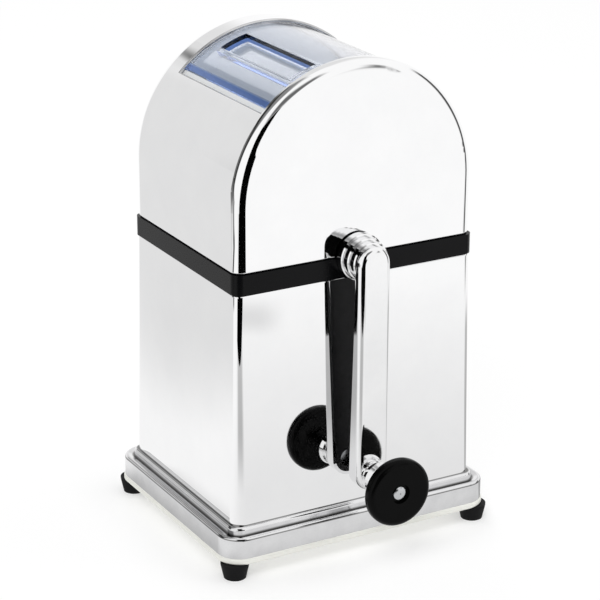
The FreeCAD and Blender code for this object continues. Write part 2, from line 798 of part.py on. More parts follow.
def make_comb():
    """Fixed comb: a back plate with a wedge-shaped finger in each gap between the wheels."""
    body = new_body("fixed_comb", z="axle_height")
    wall = "chamber_width / 2"
    face = f"{wall} - comb_plate"
    top = "comb_height / 2 - comb_drop"
    bottom = "-comb_height / 2 - comb_drop"
    plate = polygon(upright_sketch(body, "comb_length / 2"),
                    [(face, bottom), (wall, bottom), (wall, top), (face, top)])
    pad(body, plate, "comb_length")
    for number in range(int(SIZES["wheel_count"]) - 1):
        rear = f"wheel_first + wheel_pitch * {number + 0.5} + finger_thickness / 2"
        finger = polygon(upright_sketch(body, rear), [
            (f"{wall} - comb_plate / 2", f"{bottom} + 2"),
            (f"{wall} - comb_plate / 2", f"{top} - 3"),
            (f"{wall} - finger_reach / 2", "finger_rise"),
            (f"{wall} - finger_reach + 2", "finger_rise - 2"),
            (f"{wall} - finger_reach", "finger_rise - 7"),
            (f"{wall} - finger_reach / 2", f"{bottom} + 10"),
        ])
        pad(body, finger, "finger_thickness")
    holes = side_sketch(body, wall)
    for y, z in corners("chamber_length / 4", "comb_screw_span"):
        circle(holes, "screw_radius + running_gap", y, f"{z} - comb_screw_drop")
    pocket(body, holes, "comb_plate")
    places = [(f"{wall} + chamber_wall", f"body_centre_y + ({y})", f"({z}) - comb_screw_drop")
              for y, z in corners("chamber_length / 4", "comb_screw_span")]
    screws("comb_screws", places, "axle_height", "chamber_wall + comb_plate", "left")


# ---------------------------------------------------------------- upper housing, hopper, lid

def make_upper_housing():
    """Plated arched shell with the window over its crown, screw posts inside and a notch for the shaft."""
    body = new_body("upper_housing")
    outside = arch_outline(upright_sketch(body, "half_depth"), "half_width", "band_top", "spring_height")
    pad(body, outside, "body_depth")
    front = value("face_y")
    rear = value("half_depth")
    bottom = value("band_top")
    fillet(body, "arch_fillet", lambda box, edge: (at_depth(box, front) or at_depth(box, rear))
           and not at_height(box, bottom))
    fillet(body, "hem_radius", lambda box, edge: at_height(box, bottom))
    hollow = cutting_body("UpperHollow")
    inner = arch_outline(upright_sketch(hollow, "half_depth - shell_wall"), "half_width - shell_wall",
                         "band_top - 5", "spring_height")
    pad(hollow, inner, "body_depth - 2 * shell_wall")
    inner_front = value("face_y + shell_wall")
    inner_rear = value("half_depth - shell_wall")
    low = value("band_top - 5")
    chamfer(hollow, "(2 - sqrt(2)) * (arch_fillet - shell_wall)",
            lambda box, edge: (at_depth(box, inner_front) or at_depth(box, inner_rear))
            and not at_height(box, low))
    cut_away(body, hollow)
    window = ring_sector(upright_sketch(body, "face_y + window_front_rim", "spring_height"),
                         "half_width - 3 * shell_wall", "half_width + shell_wall",
                         "-window_angle", "window_angle")
    pocket(body, window, "body_depth - window_front_rim - window_rear_rim")
    notch = circle(upright_sketch(body, "face_y - 1", "axle_height"), "bush_radius + fit_gap")
    pocket(body, notch, "shell_wall + 2")
    posts = flat_sketch(body, "deck_top")
    for x, y in corners("post_x", "post_y"):
        circle(posts, "2.5 * screw_radius", x, y)
    pad(body, posts, "post_top - deck_top")
    rib_bottom = "band_top + spigot_height + 1"
    ribs = flat_sketch(body, rib_bottom)
    for x, y in corners("post_x", "post_y"):
        wall_x = f"{x[:x.index('(')]}(half_width - shell_wall / 2)"
        polygon(ribs, [(x, f"{y} - 1"), (wall_x, f"{y} - 1"), (wall_x, f"{y} + 1"), (x, f"{y} + 1")])
    pad(body, ribs, f"post_top - ({rib_bottom})")
    holes = flat_sketch(body, "deck_top + 8")
    for x, y in corners("post_x", "post_y"):
        circle(holes, "screw_radius + running_gap", x, y)
    pocket(body, holes, "8")
    places = [(x, f"body_centre_y + ({y})", "0") for x, y in corners("post_x", "post_y")]
    screws("shell_screws", places, "deck_bottom", "deck_thickness + 6")


def make_hopper():
    """Pale funnel from the window to the chamber, with curved rails for the lid and a sill beside it."""
    body = new_body("hopper", y="body_centre_y + face_y", z="spring_height")
    bottom = "chamber_top - spring_height"
    mouth_half = "rail_radius * sin(hopper_mouth_angle * 1 deg)"
    mouth_level = "rail_radius * cos(hopper_mouth_angle * 1 deg)"
    mouth_front = "window_front_rim + 0.5"
    mouth_rear = "body_depth - window_rear_rim - 0.5"
    chamber_front = "half_depth - chamber_length / 2"
    chamber_rear = "half_depth + chamber_length / 2"

    wall = "hopper_wall"

    def outline(target, level, half, front, rear):
        """A four-sided outline at a level, by its half width and its front and rear edges."""
        sketch = flat_sketch(target, level)
        return polygon(sketch, [(f"-({half})", front), (half, front), (half, rear), (f"-({half})", rear)])

    mouth = (f"{mouth_half} + {wall}", f"{mouth_front} - {wall}", f"{mouth_rear} + {wall}")
    loft(body,
         outline(body, bottom, f"chamber_width / 2 + {wall}", f"{chamber_front} - {wall}",
                 f"{chamber_rear} + {wall}"),
         outline(body, mouth_level, *mouth))
    pad(body, outline(body, mouth_level, *mouth), f"rail_radius - {mouth_level} + 2")
    flange = outline(body, bottom, "chamber_width / 2 + chamber_wall + flange_width",
                     f"{chamber_front} - chamber_wall", f"{chamber_rear} + chamber_wall")
    pad(body, flange, "flange_thickness")
    over = upright_sketch(body, "0")
    rectangle(over, "2 * body_width", "2 * body_width")
    circle(over, "rail_radius")
    pocket(body, over, "body_depth")
    for near, far in ((f"{mouth_front} - {wall}", mouth_front), (mouth_rear, f"{mouth_rear} + {wall}")):
        rail = ring_sector(upright_sketch(body, far), "rail_radius - rail_height", "rail_radius",
                           "-rail_reach_angle", "hopper_mouth_angle + sill_angle")
        pad(body, rail, f"{far} - ({near})")
    sill = ring_sector(upright_sketch(body, f"{mouth_rear} + {wall}"), "rail_radius - rail_height / 2",
                       "lid_outer_radius", "lid_left_angle + 0.3", "hopper_mouth_angle + sill_angle")
    pad(body, sill, f"{mouth_rear} - ({mouth_front}) + 2 * {wall}")
    throat = cutting_body("Throat")
    loft(throat,
         outline(throat, bottom, "chamber_width / 2", chamber_front, chamber_rear),
         outline(throat, mouth_level, mouth_half, mouth_front, mouth_rear))
    pad(throat, outline(throat, mouth_level, mouth_half, mouth_front, mouth_rear),
        f"rail_radius - {mouth_level} + 2")
    cut_away(body, throat)
    tub_way = ring_sector(upright_sketch(body, mouth_front), "tub_radius - fit_gap", "rail_radius + 1",
                          "-rail_reach_angle", "-lid_travel / 2")
    pocket(body, tub_way, f"{mouth_rear} - ({mouth_front})")
    holes = flat_sketch(body, f"{bottom} + flange_thickness")
    for x, y in corners("ear_x", "ear_y"):
        circle(holes, "screw_radius + running_gap", x, f"half_depth + ({y})")
    pocket(body, holes, "flange_thickness")
    places = [(x, f"body_centre_y + ({y})", "0") for x, y in corners("ear_x", "ear_y")]
    screws("hopper_screws", places, "chamber_top - flange_thickness", "2 * flange_thickness")


def make_lid():
    """Clear curved lid that slides round the arch, with a finger recess and a grip bar at its left edge."""
    body = new_body("lid", y="body_centre_y + face_y", z="spring_height")
    plate = ring_sector(upright_sketch(body, "lid_rear"), "lid_inner_radius", "lid_outer_radius",
                        "-lid_right_angle", "lid_left_angle")
    pad(body, plate, "lid_rear - lid_front")
    grip = ring_sector(upright_sketch(body, "lid_rear - lid_margin - 1"), "lid_outer_radius - 1",
                       "lid_outer_radius + grip_height", "lid_left_angle - grip_angle", "lid_left_angle")
    pad(body, grip, "lid_rear - lid_front - 2 * lid_margin - 2")
    rear = "window_middle + recess_length / 2"
    wall_angle = "recess_wall / lid_inner_radius * 57.3"
    tub = ring_sector(upright_sketch(body, f"{rear} + recess_wall"), "tub_radius", "lid_inner_radius + 1",
                      f"recess_near_angle - {wall_angle}",
                      f"recess_near_angle + recess_angle + {wall_angle}")
    pad(body, tub, "recess_length + 2 * recess_wall")
    recess = ring_sector(upright_sketch(body, "window_middle - recess_length / 2"),
                         "lid_outer_radius - recess_depth", "lid_outer_radius + 5",
                         "recess_near_angle", "recess_near_angle + recess_angle")
    pocket(body, recess, "recess_length")


# ---------------------------------------------------------------- rotor

def make_shaft():
    """Steel shaft: round journals, a hexagon through the chamber, a clip groove near its rear end."""
    body = new_body("crusher_shaft", z="axle_height")
    round_bar = circle(upright_sketch(body, "shaft_rear"), "journal_radius")
    pad(body, round_bar, "shaft_rear - shaft_front")
    flats = upright_sketch(body, "-hex_half")
    circle(flats, "journal_radius + 1")
    hexagon(flats, "hex_flats")
    pocket(body, flats, "2 * hex_half")
    near = "rear_boss_end + washer_thickness + fit_gap"
    groove = polygon(side_sketch(body), [
        (near, "journal_radius - clip_groove_depth"), (near, "journal_radius + 1"),
        (f"{near} + clip_thickness + 0.1", "journal_radius + 1"),
        (f"{near} + clip_thickness + 0.1", "journal_radius - clip_groove_depth"),
    ])
    revolve(body, groove, "H_Axis", cut=True)


def make_wheel(number):
    """One toothed crushing wheel: a hub disc with hooked teeth, turned one flat from its neighbour."""
    place = f"body_centre_y + wheel_first + wheel_pitch * {number}"
    body = new_body(f"crusher_wheel_{number + 1}", y=place, z="axle_height")
    turn = 60 * number
    body.Placement = Placement(body.Placement.Base, Rotation(Vector(0, 1, 0), turn))
    pad(body, circle(upright_sketch(body, "wheel_thickness / 2"), "wheel_root_radius"), "wheel_thickness")
    tooth = polygon(upright_sketch(body, "wheel_thickness / 2"), [
        ("-wheel_root_radius * 0.75", "wheel_root_radius * 0.5"),
        ("wheel_root_radius * 0.75", "wheel_root_radius * 0.5"),
        ("wheel_tip_radius * 0.30", "wheel_tip_radius * 0.78"),
        ("wheel_tip_radius * 0.26", "wheel_tip_radius * 0.955"),
        ("wheel_tip_radius * 0.14", "wheel_tip_radius * 0.98"),
        ("-wheel_tip_radius * 0.16", "wheel_tip_radius * 0.72"),
    ])
    first = pad(body, tooth, "wheel_thickness")
    doc.recompute()
    pattern = body.newObject("PartDesign::PolarPattern", "Teeth")
    pattern.Originals = [first]
    axis = [item for item in body.Origin.OriginFeatures if item.Role == "Y_Axis"][0]
    pattern.Axis = (axis, [""])
    pattern.Angle = 360
    bind(pattern, "Occurrences", "tooth_count")
    body.Tip = pattern
    doc.recompute()
    bore = hexagon(upright_sketch(body, "-wheel_thickness / 2"), "hex_flats + 2 * hex_gap")
    pocket(body, bore, "wheel_thickness")


def make_spacer(name, near, far):
    """A round spacer with a hexagonal bore, between two depths along the shaft."""
    body = new_body(name, z="axle_height")
    length = f"{far} - ({near})"
    pad(body, circle(upright_sketch(body, far), "spacer_radius"), length)
    bore = hexagon(upright_sketch(body, near), "hex_flats + 2 * hex_gap")
    pocket(body, bore, length)


def make_spacers():
    """Spacers that hold the wheels apart and off the bushes."""
    for number in range(int(SIZES["wheel_count"]) - 1):
        make_spacer(f"wheel_spacer_{number + 1}",
                    f"wheel_first + wheel_pitch * {number} + wheel_thickness / 2",
                    f"wheel_first + wheel_pitch * {number + 1} - wheel_thickness / 2")
    make_spacer("end_spacer_front", "-hex_half", "wheel_first - wheel_thickness / 2")
    make_spacer("end_spacer_rear", "wheel_thickness / 2 - wheel_first", "hex_half")


def make_shaft_retainers():
    """Thrust washer and open retaining clip behind the rear bush."""
    near = "rear_boss_end + fit_gap / 2"
    turned("thrust_washer", [
        (near, "journal_radius + 0.1"), (near, "washer_radius"),
        (f"{near} + washer_thickness", "washer_radius"),
        (f"{near} + washer_thickness", "journal_radius + 0.1"),
    ], ("0", "body_centre_y", "axle_height"))
    start = "rear_boss_end + washer_thickness + fit_gap + 0.05"
    clip = turned("retaining_clip", [
        (start, "journal_radius - clip_groove_depth + 0.05"), (start, "clip_radius"),
        (f"{start} + clip_thickness", "clip_radius"),
        (f"{start} + clip_thickness", "journal_radius - clip_groove_depth + 0.05"),
    ], ("0", "body_centre_y", "axle_height"))
    gap = rectangle(upright_sketch(clip, f"{start} - 1"), "journal_radius * 1.2", "2 * clip_radius",
                    "clip_radius")
    pocket(clip, gap, "clip_thickness + 2")


# ---------------------------------------------------------------- crank

def make_hub():
    """Plated hub of three rings, each smaller than the one behind it, with a radial grub screw."""
    body = turned("crank_hub", hub_outline(), ("0", "body_centre_y", "axle_height"))
    hole = new_sketch(body, "YZ_Plane", "hub_radius")
    circle(hole, "screw_radius + running_gap", "hub_back - hub_ring_length / 2")
    pocket(body, hole, "hub_radius - journal_radius")
    screw = doc.addObject("Part::Cylinder", "GrubScrew")
    screw.Label = "hub_grub_screw"
    screw.Placement = Placement(Vector(), Rotation(Vector(0, 1, 0), 90))
    bind(screw, "Radius", "screw_radius")
    bind(screw, "Height", "hub_radius - journal_radius - 1")
    bind(screw, "Placement.Base.x", "journal_radius + 0.02")
    bind(screw, "Placement.Base.y", "body_centre_y + hub_back - hub_ring_length / 2")
    bind(screw, "Placement.Base.z", "axle_height")
    kept.append(screw)


def hub_outline():
    """The hub's half section: three steps with chamfered rims."""
    bore = "journal_radius + running_gap"
    outline = [("hub_back", bore)]
    for ring in range(3):
        back = f"hub_back - hub_ring_length * {ring}"
        front = f"hub_back - hub_ring_length * {ring + 1}"
        radius = f"hub_radius - hub_step * {ring}"
        if ring > 0:
            outline.append((back, f"{radius} - 0.3"))
            back = f"{back} - 0.3"
        outline.append((back, radius))
        outline.append((f"{front} + 0.6", radius))
        outline.append((front, f"{radius} - 0.6"))
    outline.append(("hub_back - hub_ring_length * 3", bore))
    return outline


def make_arm():
    """Plated crank arm, deeper towards the knob, rounded in front, with a black insert in its back."""
    body = new_body("crank_arm", z="axle_height")
    depth = "arm_thick + 4"
    pad(body, obround(upright_sketch(body, f"arm_face + {depth}"), "arm_width", "arm_length"), depth)
    slope = "(arm_thick - arm_thin) / (arm_length - hub_radius)"
    reach = "(arm_width / 2 + 1)"

    def behind(target):
        """Cut away all that lies behind the arm's back, which slopes from the hub to the knob end."""
        sketch = new_sketch(target, "YZ_Plane", "arm_width")
        polygon(sketch, [
            ("arm_back", reach),
            (f"arm_face + {depth} + 5", reach),
            (f"arm_face + {depth} + 5", f"-arm_length - {reach}"),
            (f"arm_back + {slope} * (arm_length - hub_radius + {reach})", f"-arm_length - {reach}"),
            ("arm_back", "-hub_radius"),
        ])
        pocket(target, sketch, "2 * arm_width")

    behind(body)
    face = value("arm_face")
    fillet(body, "arm_round", lambda box, edge: at_depth(box, face))
    inside = obround(upright_sketch(body, "arm_face + arm_skin"), "arm_width - 2 * arm_skin", "arm_length")
    pocket(body, inside, depth)
    hole = circle(upright_sketch(body, "arm_face - 1"), "spindle_radius + running_gap", "0", "-arm_length")
    pocket(body, hole, "arm_skin + 2")

    insert = new_body("arm_insert", z="axle_height")
    profile = obround(upright_sketch(insert, f"arm_face + {depth}"), "arm_width - 2 * arm_skin - 0.1",
                      "arm_length")
    pad(insert, profile, f"{depth} - arm_skin - 0.05")
    behind(insert)
    socket = circle(upright_sketch(insert, "arm_face - 1"), "journal_radius + running_gap")
    pocket(insert, socket, "arm_thick + 4")
    rivet = circle(upright_sketch(insert, "arm_face - 1"), "spindle_radius + 1.5", "0", "-arm_length")
    pocket(insert, rivet, "arm_thick + 4")


def make_knob():
    """Round black knob on a riveted spindle, with a plated collar between it and the arm."""
    place = ("0", "body_centre_y", "axle_height - arm_length")
    back = "arm_face + arm_skin + 2.5"
    head = "knob_face + knob_recess_depth"
    turned("knob_spindle", [
        (back, "0"), (back, "spindle_radius + 1.4"), ("arm_face + arm_skin + 0.05", "spindle_radius + 1.4"),
        ("arm_face + arm_skin + 0.05", "spindle_radius"), (f"{head} - 0.05", "spindle_radius"),
        (f"{head} - 0.05", "rivet_head_radius"), (f"{head} - rivet_head_height * 0.6", "rivet_head_radius"),
        (f"{head} - rivet_head_height", "rivet_head_radius * 0.6"), (f"{head} - rivet_head_height", "0"),
    ], place)
    reach = "(arm_face - knob_back)"
    bore = "spindle_radius + running_gap"
    turned("knob_collar", [
        ("arm_face", bore), ("arm_face", "collar_radius - 0.4"), ("arm_face - 0.4", "collar_radius"),
        ("arm_face - 1.6", "collar_radius"), ("arm_face - 2.0", "collar_radius - 0.8"),
        ("arm_face - 2.6", "collar_radius - 0.8"), ("arm_face - 3.4", "collar_radius + 0.5 * collar_bulge"),
        ("arm_face - 6", "collar_radius + collar_bulge"),
        ("arm_face - 8.8", "collar_radius + 0.4 * collar_bulge"), ("arm_face - 11", "collar_radius - 1"),
        ("arm_face - 13", "collar_neck_radius"),
        (f"arm_face - {reach} + fit_gap", "collar_neck_radius"),
        (f"arm_face - {reach} + fit_gap", bore),
    ], place)
    knob = new_body("crank_knob", *place)
    outline = polygon(side_sketch(knob), [
        ("knob_back", bore), ("knob_back", "knob_radius"), ("knob_face", "knob_radius"),
        ("knob_face", "knob_recess_radius"), ("knob_face + knob_recess_depth", "knob_recess_radius"),
        ("knob_face + knob_recess_depth", bore),
    ])
    revolve(knob, outline, "H_Axis")
    rim = value("knob_radius")
    fillet(knob, "knob_round", lambda box, edge: abs(box.ZMax - rim) < 0.01 and box.YLength < 0.01)


# ---------------------------------------------------------------- build, check, write

def main():
    make_base_plate()
    make_plinth()
    make_feet()
    make_lower_housing()
    make_container_floor()
    make_ice_bin()
    make_frame()
    make_bushes()
    make_comb()
    make_upper_housing()
    make_hopper()
    make_lid()
    make_shaft()
    for number in range(int(SIZES["wheel_count"])):
        make_wheel(number)
    make_spacers()
    make_shaft_retainers()
    make_hub()
    make_arm()
    make_knob()
    doc.recompute()
    for thing in doc.Objects:
        if "Invalid" in thing.State or "Error" in thing.State:
            raise ValueError(f"{thing.Name} failed: {thing.State}")
    os.makedirs("parts", exist_ok=True)
    for node in kept:
        shape = node.Shape
        if shape.isNull() or not shape.isValid():
            raise ValueError(f"{node.Label} has no valid shape")
        shape.exportStep(os.path.join("parts", node.Label + ".step"))
        print(f"{node.Label}: {len(shape.Solids)} solid(s), {shape.Volume:.0f} mm3")


main()
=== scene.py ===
# %% [markdown]
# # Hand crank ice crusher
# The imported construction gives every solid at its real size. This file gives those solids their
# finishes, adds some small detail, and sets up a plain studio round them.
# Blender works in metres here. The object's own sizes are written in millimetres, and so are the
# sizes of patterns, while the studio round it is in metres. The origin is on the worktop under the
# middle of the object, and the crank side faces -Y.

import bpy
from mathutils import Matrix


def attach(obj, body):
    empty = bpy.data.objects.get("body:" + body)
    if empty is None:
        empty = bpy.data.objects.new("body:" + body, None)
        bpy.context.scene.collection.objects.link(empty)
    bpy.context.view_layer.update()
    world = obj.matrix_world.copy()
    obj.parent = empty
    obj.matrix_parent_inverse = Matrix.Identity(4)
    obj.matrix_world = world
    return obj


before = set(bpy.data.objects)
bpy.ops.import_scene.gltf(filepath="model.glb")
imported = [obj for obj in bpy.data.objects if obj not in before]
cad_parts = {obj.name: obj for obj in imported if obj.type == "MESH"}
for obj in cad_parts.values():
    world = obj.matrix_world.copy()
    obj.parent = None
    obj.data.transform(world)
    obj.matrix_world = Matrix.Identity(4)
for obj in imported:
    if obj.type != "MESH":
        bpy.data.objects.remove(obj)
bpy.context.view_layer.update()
print("nodes:", len(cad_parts))

# %% Modules
import math

import bpy
from mathutils import Matrix, Vector

MM = 0.001

# %% [markdown]
# ## Camera
# The camera stands to the left of the crank side and above it, far enough away that the upright
# edges stay almost parallel. A new camera looks straight down. It is rolled about its own axis,
# tilted up and then turned towards the object, and the three turns are multiplied in that order,
# the last one first. The view transform is Standard, so that a colour shows as it is written.

# %% Camera
CAMERA_PLACE = Vector((-555.9, -962.9, 537.9)) * MM
CAMERA_YAW = 29.51
CAMERA_PITCH = 20.42
CAMERA_ROLL = 0.18
CAMERA_LENS = 136.43
CAMERA_SEES = (0.05, 30)

bpy.ops.object.select_all(action="DESELECT")
bpy.ops.object.camera_add(location=CAMERA_PLACE)
camera = bpy.context.object
camera.name = "studio_camera"
camera.data.lens = CAMERA_LENS
camera.data.clip_start, camera.data.clip_end = CAMERA_SEES
turn = Matrix.Rotation(math.radians(-CAMERA_YAW), 4, "Z")
tilt = Matrix.Rotation(math.radians(90 - CAMERA_PITCH), 4, "X")
roll = Matrix.Rotation(math.radians(CAMERA_ROLL), 4, "Z")
camera.rotation_euler = (turn @ tilt @ roll).to_euler()
bpy.context.scene.camera = camera
bpy.context.scene.view_settings.view_transform = "Standard"
print("camera at", [round(v, 3) for v in camera.location])

# %% [markdown]
# ## Colours and nodes
# Colours are picked as the eye sees them, as hex values, and Blender's shaders want linear light,
# so one function converts them with the usual curve of screens. A material is a tree of nodes: a
# second function fills a node's inputs with values or with links, and a third adds a node first.


# %% Colour and node helpers
def linear(code):
    """A hex colour as linear red, green, blue and full alpha."""
    parts = [int(code[i:i + 2], 16) / 255 for i in (1, 3, 5)]
    light = [p / 12.92 if p <= 0.04045 else ((p + 0.055) / 1.055) ** 2.4 for p in parts]
    return (*light, 1.0)


def feed(tree, node, **inputs):
    """Give inputs values or links: From_Min is the input From Min, and i0 is the first input."""
    for name, value in inputs.items():
        key = int(name[1:]) if name[0] == "i" and name[1:].isdigit() else name.replace("_", " ")
        socket = node.inputs[key]
        if isinstance(value, bpy.types.NodeSocket):
            tree.links.new(value, socket)
        else:
            socket.default_value = value


def add(tree, kind, settings=None, **inputs):
    """Add a node; settings are its own properties, inputs are values or other nodes' outputs."""
    made = tree.nodes.new(kind)
    for name, value in (settings or {}).items():
        setattr(made, name, value)
    feed(tree, made, **inputs)
    return made


def new_material(name):
    """An empty material with its Principled shader linked to the output."""
    material = bpy.data.materials.new(name)
    material.use_nodes = True
    tree = material.node_tree
    tree.nodes.clear()
    shader = tree.nodes.new("ShaderNodeBsdfPrincipled")
    output = tree.nodes.new("ShaderNodeOutputMaterial")
    tree.links.new(shader.outputs["BSDF"], output.inputs["Surface"])
    place = tree.nodes.new("ShaderNodeTexCoord").outputs["Object"]
    return material, tree, shader, place


def cycles_per_metre(size_mm):
    """The scale of a pattern whose features are about this many millimetres apart."""
    return 1000 / size_mm


# %% [markdown]
# ## Nickel and chrome plate on pressed steel
# Plate is a mirror, so it is fully metallic and hardly rough. What gives it away as real metal is
# small: sheet steel is never quite flat after pressing, so reflections drift slowly, and handling
# leaves a faint haze that makes some places a little less sharp than others. Two noise patterns do
# this. One varies the roughness and the tint in patches, and a slow one bends the reflections.

# %% Plated steel
HAZE_PATCH = 22.0
CLEAN_PLATE = "#fbfbfb"


def plated_steel(name, tint, wave_mm, wave_depth_mm, haze):
    """Bright plate whose surface drifts over a given distance by a given depth."""
    material, tree, shader, place = new_material(name)
    patches = add(tree, "ShaderNodeTexNoise", None, Vector=place, Scale=cycles_per_metre(HAZE_PATCH),
                  Detail=6.0, Roughness=0.62)
    roughness = add(tree, "ShaderNodeMapRange", None, Value=patches.outputs["Fac"], From_Min=0.35,
                    From_Max=0.75, To_Min=haze * 0.55, To_Max=haze * 1.5)
    tone = add(tree, "ShaderNodeMix", {"data_type": "RGBA"}, Factor=patches.outputs["Fac"], A=linear(tint),
               B=linear(CLEAN_PLATE))
    drift = add(tree, "ShaderNodeTexNoise", None, Vector=place, Scale=cycles_per_metre(wave_mm), Detail=1.0,
                Roughness=0.4)
    bump = add(tree, "ShaderNodeBump", None, Height=drift.outputs["Fac"], Strength=1.0,
               Distance=wave_depth_mm * MM)
    feed(tree, shader, Metallic=1.0, Roughness=roughness.outputs["Result"], Base_Color=tone.outputs["Result"],
         Normal=bump.outputs["Normal"])
    return material


housing_plate = plated_steel("housing_plate_on_pressed_steel", "#f3f3f4", 60.0, 0.03, 0.03)
crank_plate = plated_steel("crank_plate_on_cast_metal", "#e9e9ea", 26.0, 0.02, 0.06)
print("plate finishes:", housing_plate.name, crank_plate.name)

# %% [markdown]
# ## Plate on the base casting
# The base moulding is a zinc casting, plated like the rest. A casting is polished by hand, so its
# plate is softer to look at than that on pressed sheet. The bottom of its gutter and the joint under
# the housing get a painted shade: grey painted into the plate's colour where shade falls in these
# creases. Both places are level creases, so their heights are enough to find them: the painted shade
# is strongest at each height and is gone a short reach above and below it. Each crease is written as
# its height and its reach.


# %% Plated casting
def step(tree, value, at, blur, low=0.0, high=1.0):
    """A smooth change from low to high, centred on a value."""
    made = add(tree, "ShaderNodeMapRange", {"interpolation_type": "SMOOTHSTEP"}, Value=value,
               From_Min=at - blur, From_Max=at + blur, To_Min=low, To_Max=high)
    return made.outputs["Result"]


# Painted shade: a grey mixed into the plate's colour at each crease, where shade falls.
CREASES = ((22.05 * MM, 0.55 * MM), (26.75 * MM, 0.35 * MM))
PAINTED_SHADE_STRENGTH = 0.85
PAINTED_CREASE_SHADE = "#4c4b49"

casting_plate = plated_steel("base_plate_on_zinc_casting", "#cdcdcf", 14.0, 0.02, 0.10)
tree = casting_plate.node_tree
shader = tree.nodes["Principled BSDF"]
bright = shader.inputs["Base Color"].links[0].from_socket
height = add(tree, "ShaderNodeSeparateXYZ", None, i0=tree.nodes["Texture Coordinate"].outputs["Object"])
painted_shade = 0.0
for crease_height, crease_reach in CREASES:
    above = add(tree, "ShaderNodeMath", {"operation": "SUBTRACT"}, i0=height.outputs["Z"], i1=crease_height)
    off = add(tree, "ShaderNodeMath", {"operation": "ABSOLUTE"}, i0=above.outputs[0])
    near = step(tree, off.outputs[0], crease_reach / 2, crease_reach / 2, PAINTED_SHADE_STRENGTH, 0.0)
    painted_shade = add(tree, "ShaderNodeMath", {"operation": "MAXIMUM"}, i0=painted_shade, i1=near).outputs[0]
shaded_plate = add(tree, "ShaderNodeMix", {"data_type": "RGBA"}, Factor=painted_shade, A=bright, B=linear(PAINTED_CREASE_SHADE))
feed(tree, shader, Base_Color=shaded_plate.outputs["Result"])
print("casting finish:", casting_plate.name, len(tree.nodes), "nodes")

# %% [markdown]
# ## Moulded plastics and rubber
# Moulded plastic takes the skin of its mould. A gloss part has a slow ripple, 0.9 to 1.6 mm apart,
# and a matt part has a grain 0.4 to 0.6 mm apart and up to 0.04 mm deep, which is what makes it
# matt to look at. The colour is never quite even either, so it drifts between two close shades.

# %% Moulded plastic
SHADE_PATCH = 9.0


def moulded(name, shade, shade_two, roughness, grain_mm, grain_depth_mm, shine=0.5):
    """Opaque plastic or rubber with a two-tone drift and a moulded grain."""
    material, tree, shader, place = new_material(name)
    drift = add(tree, "ShaderNodeTexNoise", None, Vector=place, Scale=cycles_per_metre(SHADE_PATCH),
                Detail=5.0, Roughness=0.6)
    tone = add(tree, "ShaderNodeMix", {"data_type": "RGBA"}, Factor=drift.outputs["Fac"], A=linear(shade),
               B=linear(shade_two))
    wear = add(tree, "ShaderNodeMapRange", None, Value=drift.outputs["Fac"], To_Min=roughness * 0.8,
               To_Max=roughness * 1.3)
    grain = add(tree, "ShaderNodeTexNoise", None, Vector=place, Scale=cycles_per_metre(grain_mm), Detail=3.0,
                Roughness=0.55)
    bump = add(tree, "ShaderNodeBump", None, Height=grain.outputs["Fac"], Strength=1.0,
               Distance=grain_depth_mm * MM)
    feed(tree, shader, IOR=1.5, Specular_IOR_Level=shine, Base_Color=tone.outputs["Result"],
         Roughness=wear.outputs["Result"], Normal=bump.outputs["Normal"])
    return material


black_gloss_abs = moulded("black_gloss_abs", "#050506", "#0c0c0e", 0.22, 1.2, 0.012, 0.12)
black_satin_abs = moulded("black_satin_abs", "#0c0c0d", "#242426", 0.38, 0.5, 0.02, 0.22)
black_phenolic = moulded("black_phenolic_knob", "#030303", "#080808", 0.2, 1.6, 0.01, 0.07)
foot_rubber = moulded("foot_rubber", "#08080a", "#161617", 0.62, 0.4, 0.04, 0.2)
ivory_abs = moulded("ivory_abs", "#ecece4", "#f4f4ee", 0.38, 0.6, 0.015)
white_abs = moulded("white_gloss_abs", "#e8e9e8", "#f0f1f0", 0.28, 0.9, 0.012)
grey_abs = moulded("grey_satin_abs", "#9a9da0", "#a8abad", 0.45, 0.6, 0.02)
print("moulded finishes:", [m.name for m in (black_gloss_abs, black_satin_abs, black_phenolic, foot_rubber,
                                            ivory_abs, white_abs, grey_abs)])

# %% [markdown]
# ## Clear plastics
# The lid is clear acrylic with a little blue in it. Light that crosses the sheet meets 3 mm of it and
# hardly changes, while light that runs along inside it comes out at an edge deep blue. That is
# absorption, so it is made with an absorbing volume and not with a painted colour. Glass shaders
# would also keep the lamps off what is below, so lamps and bounced light get a clear way through.
# The ice bin is frosted by its mould: the same plastic look with a rough surface.

# %% Clear plastic
CLEAR_WAY = "#eef3fb"
CLEAR_IOR = 1.49
BREATH_PATCH = 6.0


def clear_plastic(name, tint, stain, strength, roughness):
    """Clear plastic that takes a stain with the distance that light travels in it."""
    material, tree, shader, place = new_material(name)
    breath = add(tree, "ShaderNodeTexNoise", None, Vector=place, Scale=cycles_per_metre(BREATH_PATCH),
                 Detail=4.0)
    haze = add(tree, "ShaderNodeMapRange", None, Value=breath.outputs["Fac"], To_Min=roughness * 0.6,
               To_Max=roughness * 1.6)
    feed(tree, shader, IOR=CLEAR_IOR, Transmission_Weight=1.0, Base_Color=linear(tint),
         Roughness=haze.outputs["Result"])
    path = tree.nodes.new("ShaderNodeLightPath")
    passes = add(tree, "ShaderNodeMath", {"operation": "MAXIMUM"}, i0=path.outputs["Is Shadow Ray"],
                 i1=path.outputs["Is Diffuse Ray"])
    way_through = add(tree, "ShaderNodeBsdfTransparent", None, Color=linear(CLEAR_WAY))
    both = add(tree, "ShaderNodeMixShader", None, i0=passes.outputs[0], i1=shader.outputs[0],
               i2=way_through.outputs[0])
    absorber = add(tree, "ShaderNodeVolumeAbsorption", None, Color=linear(stain), Density=strength)
    feed(tree, tree.nodes["Material Output"], Surface=both.outputs[0], Volume=absorber.outputs[0])
    return material


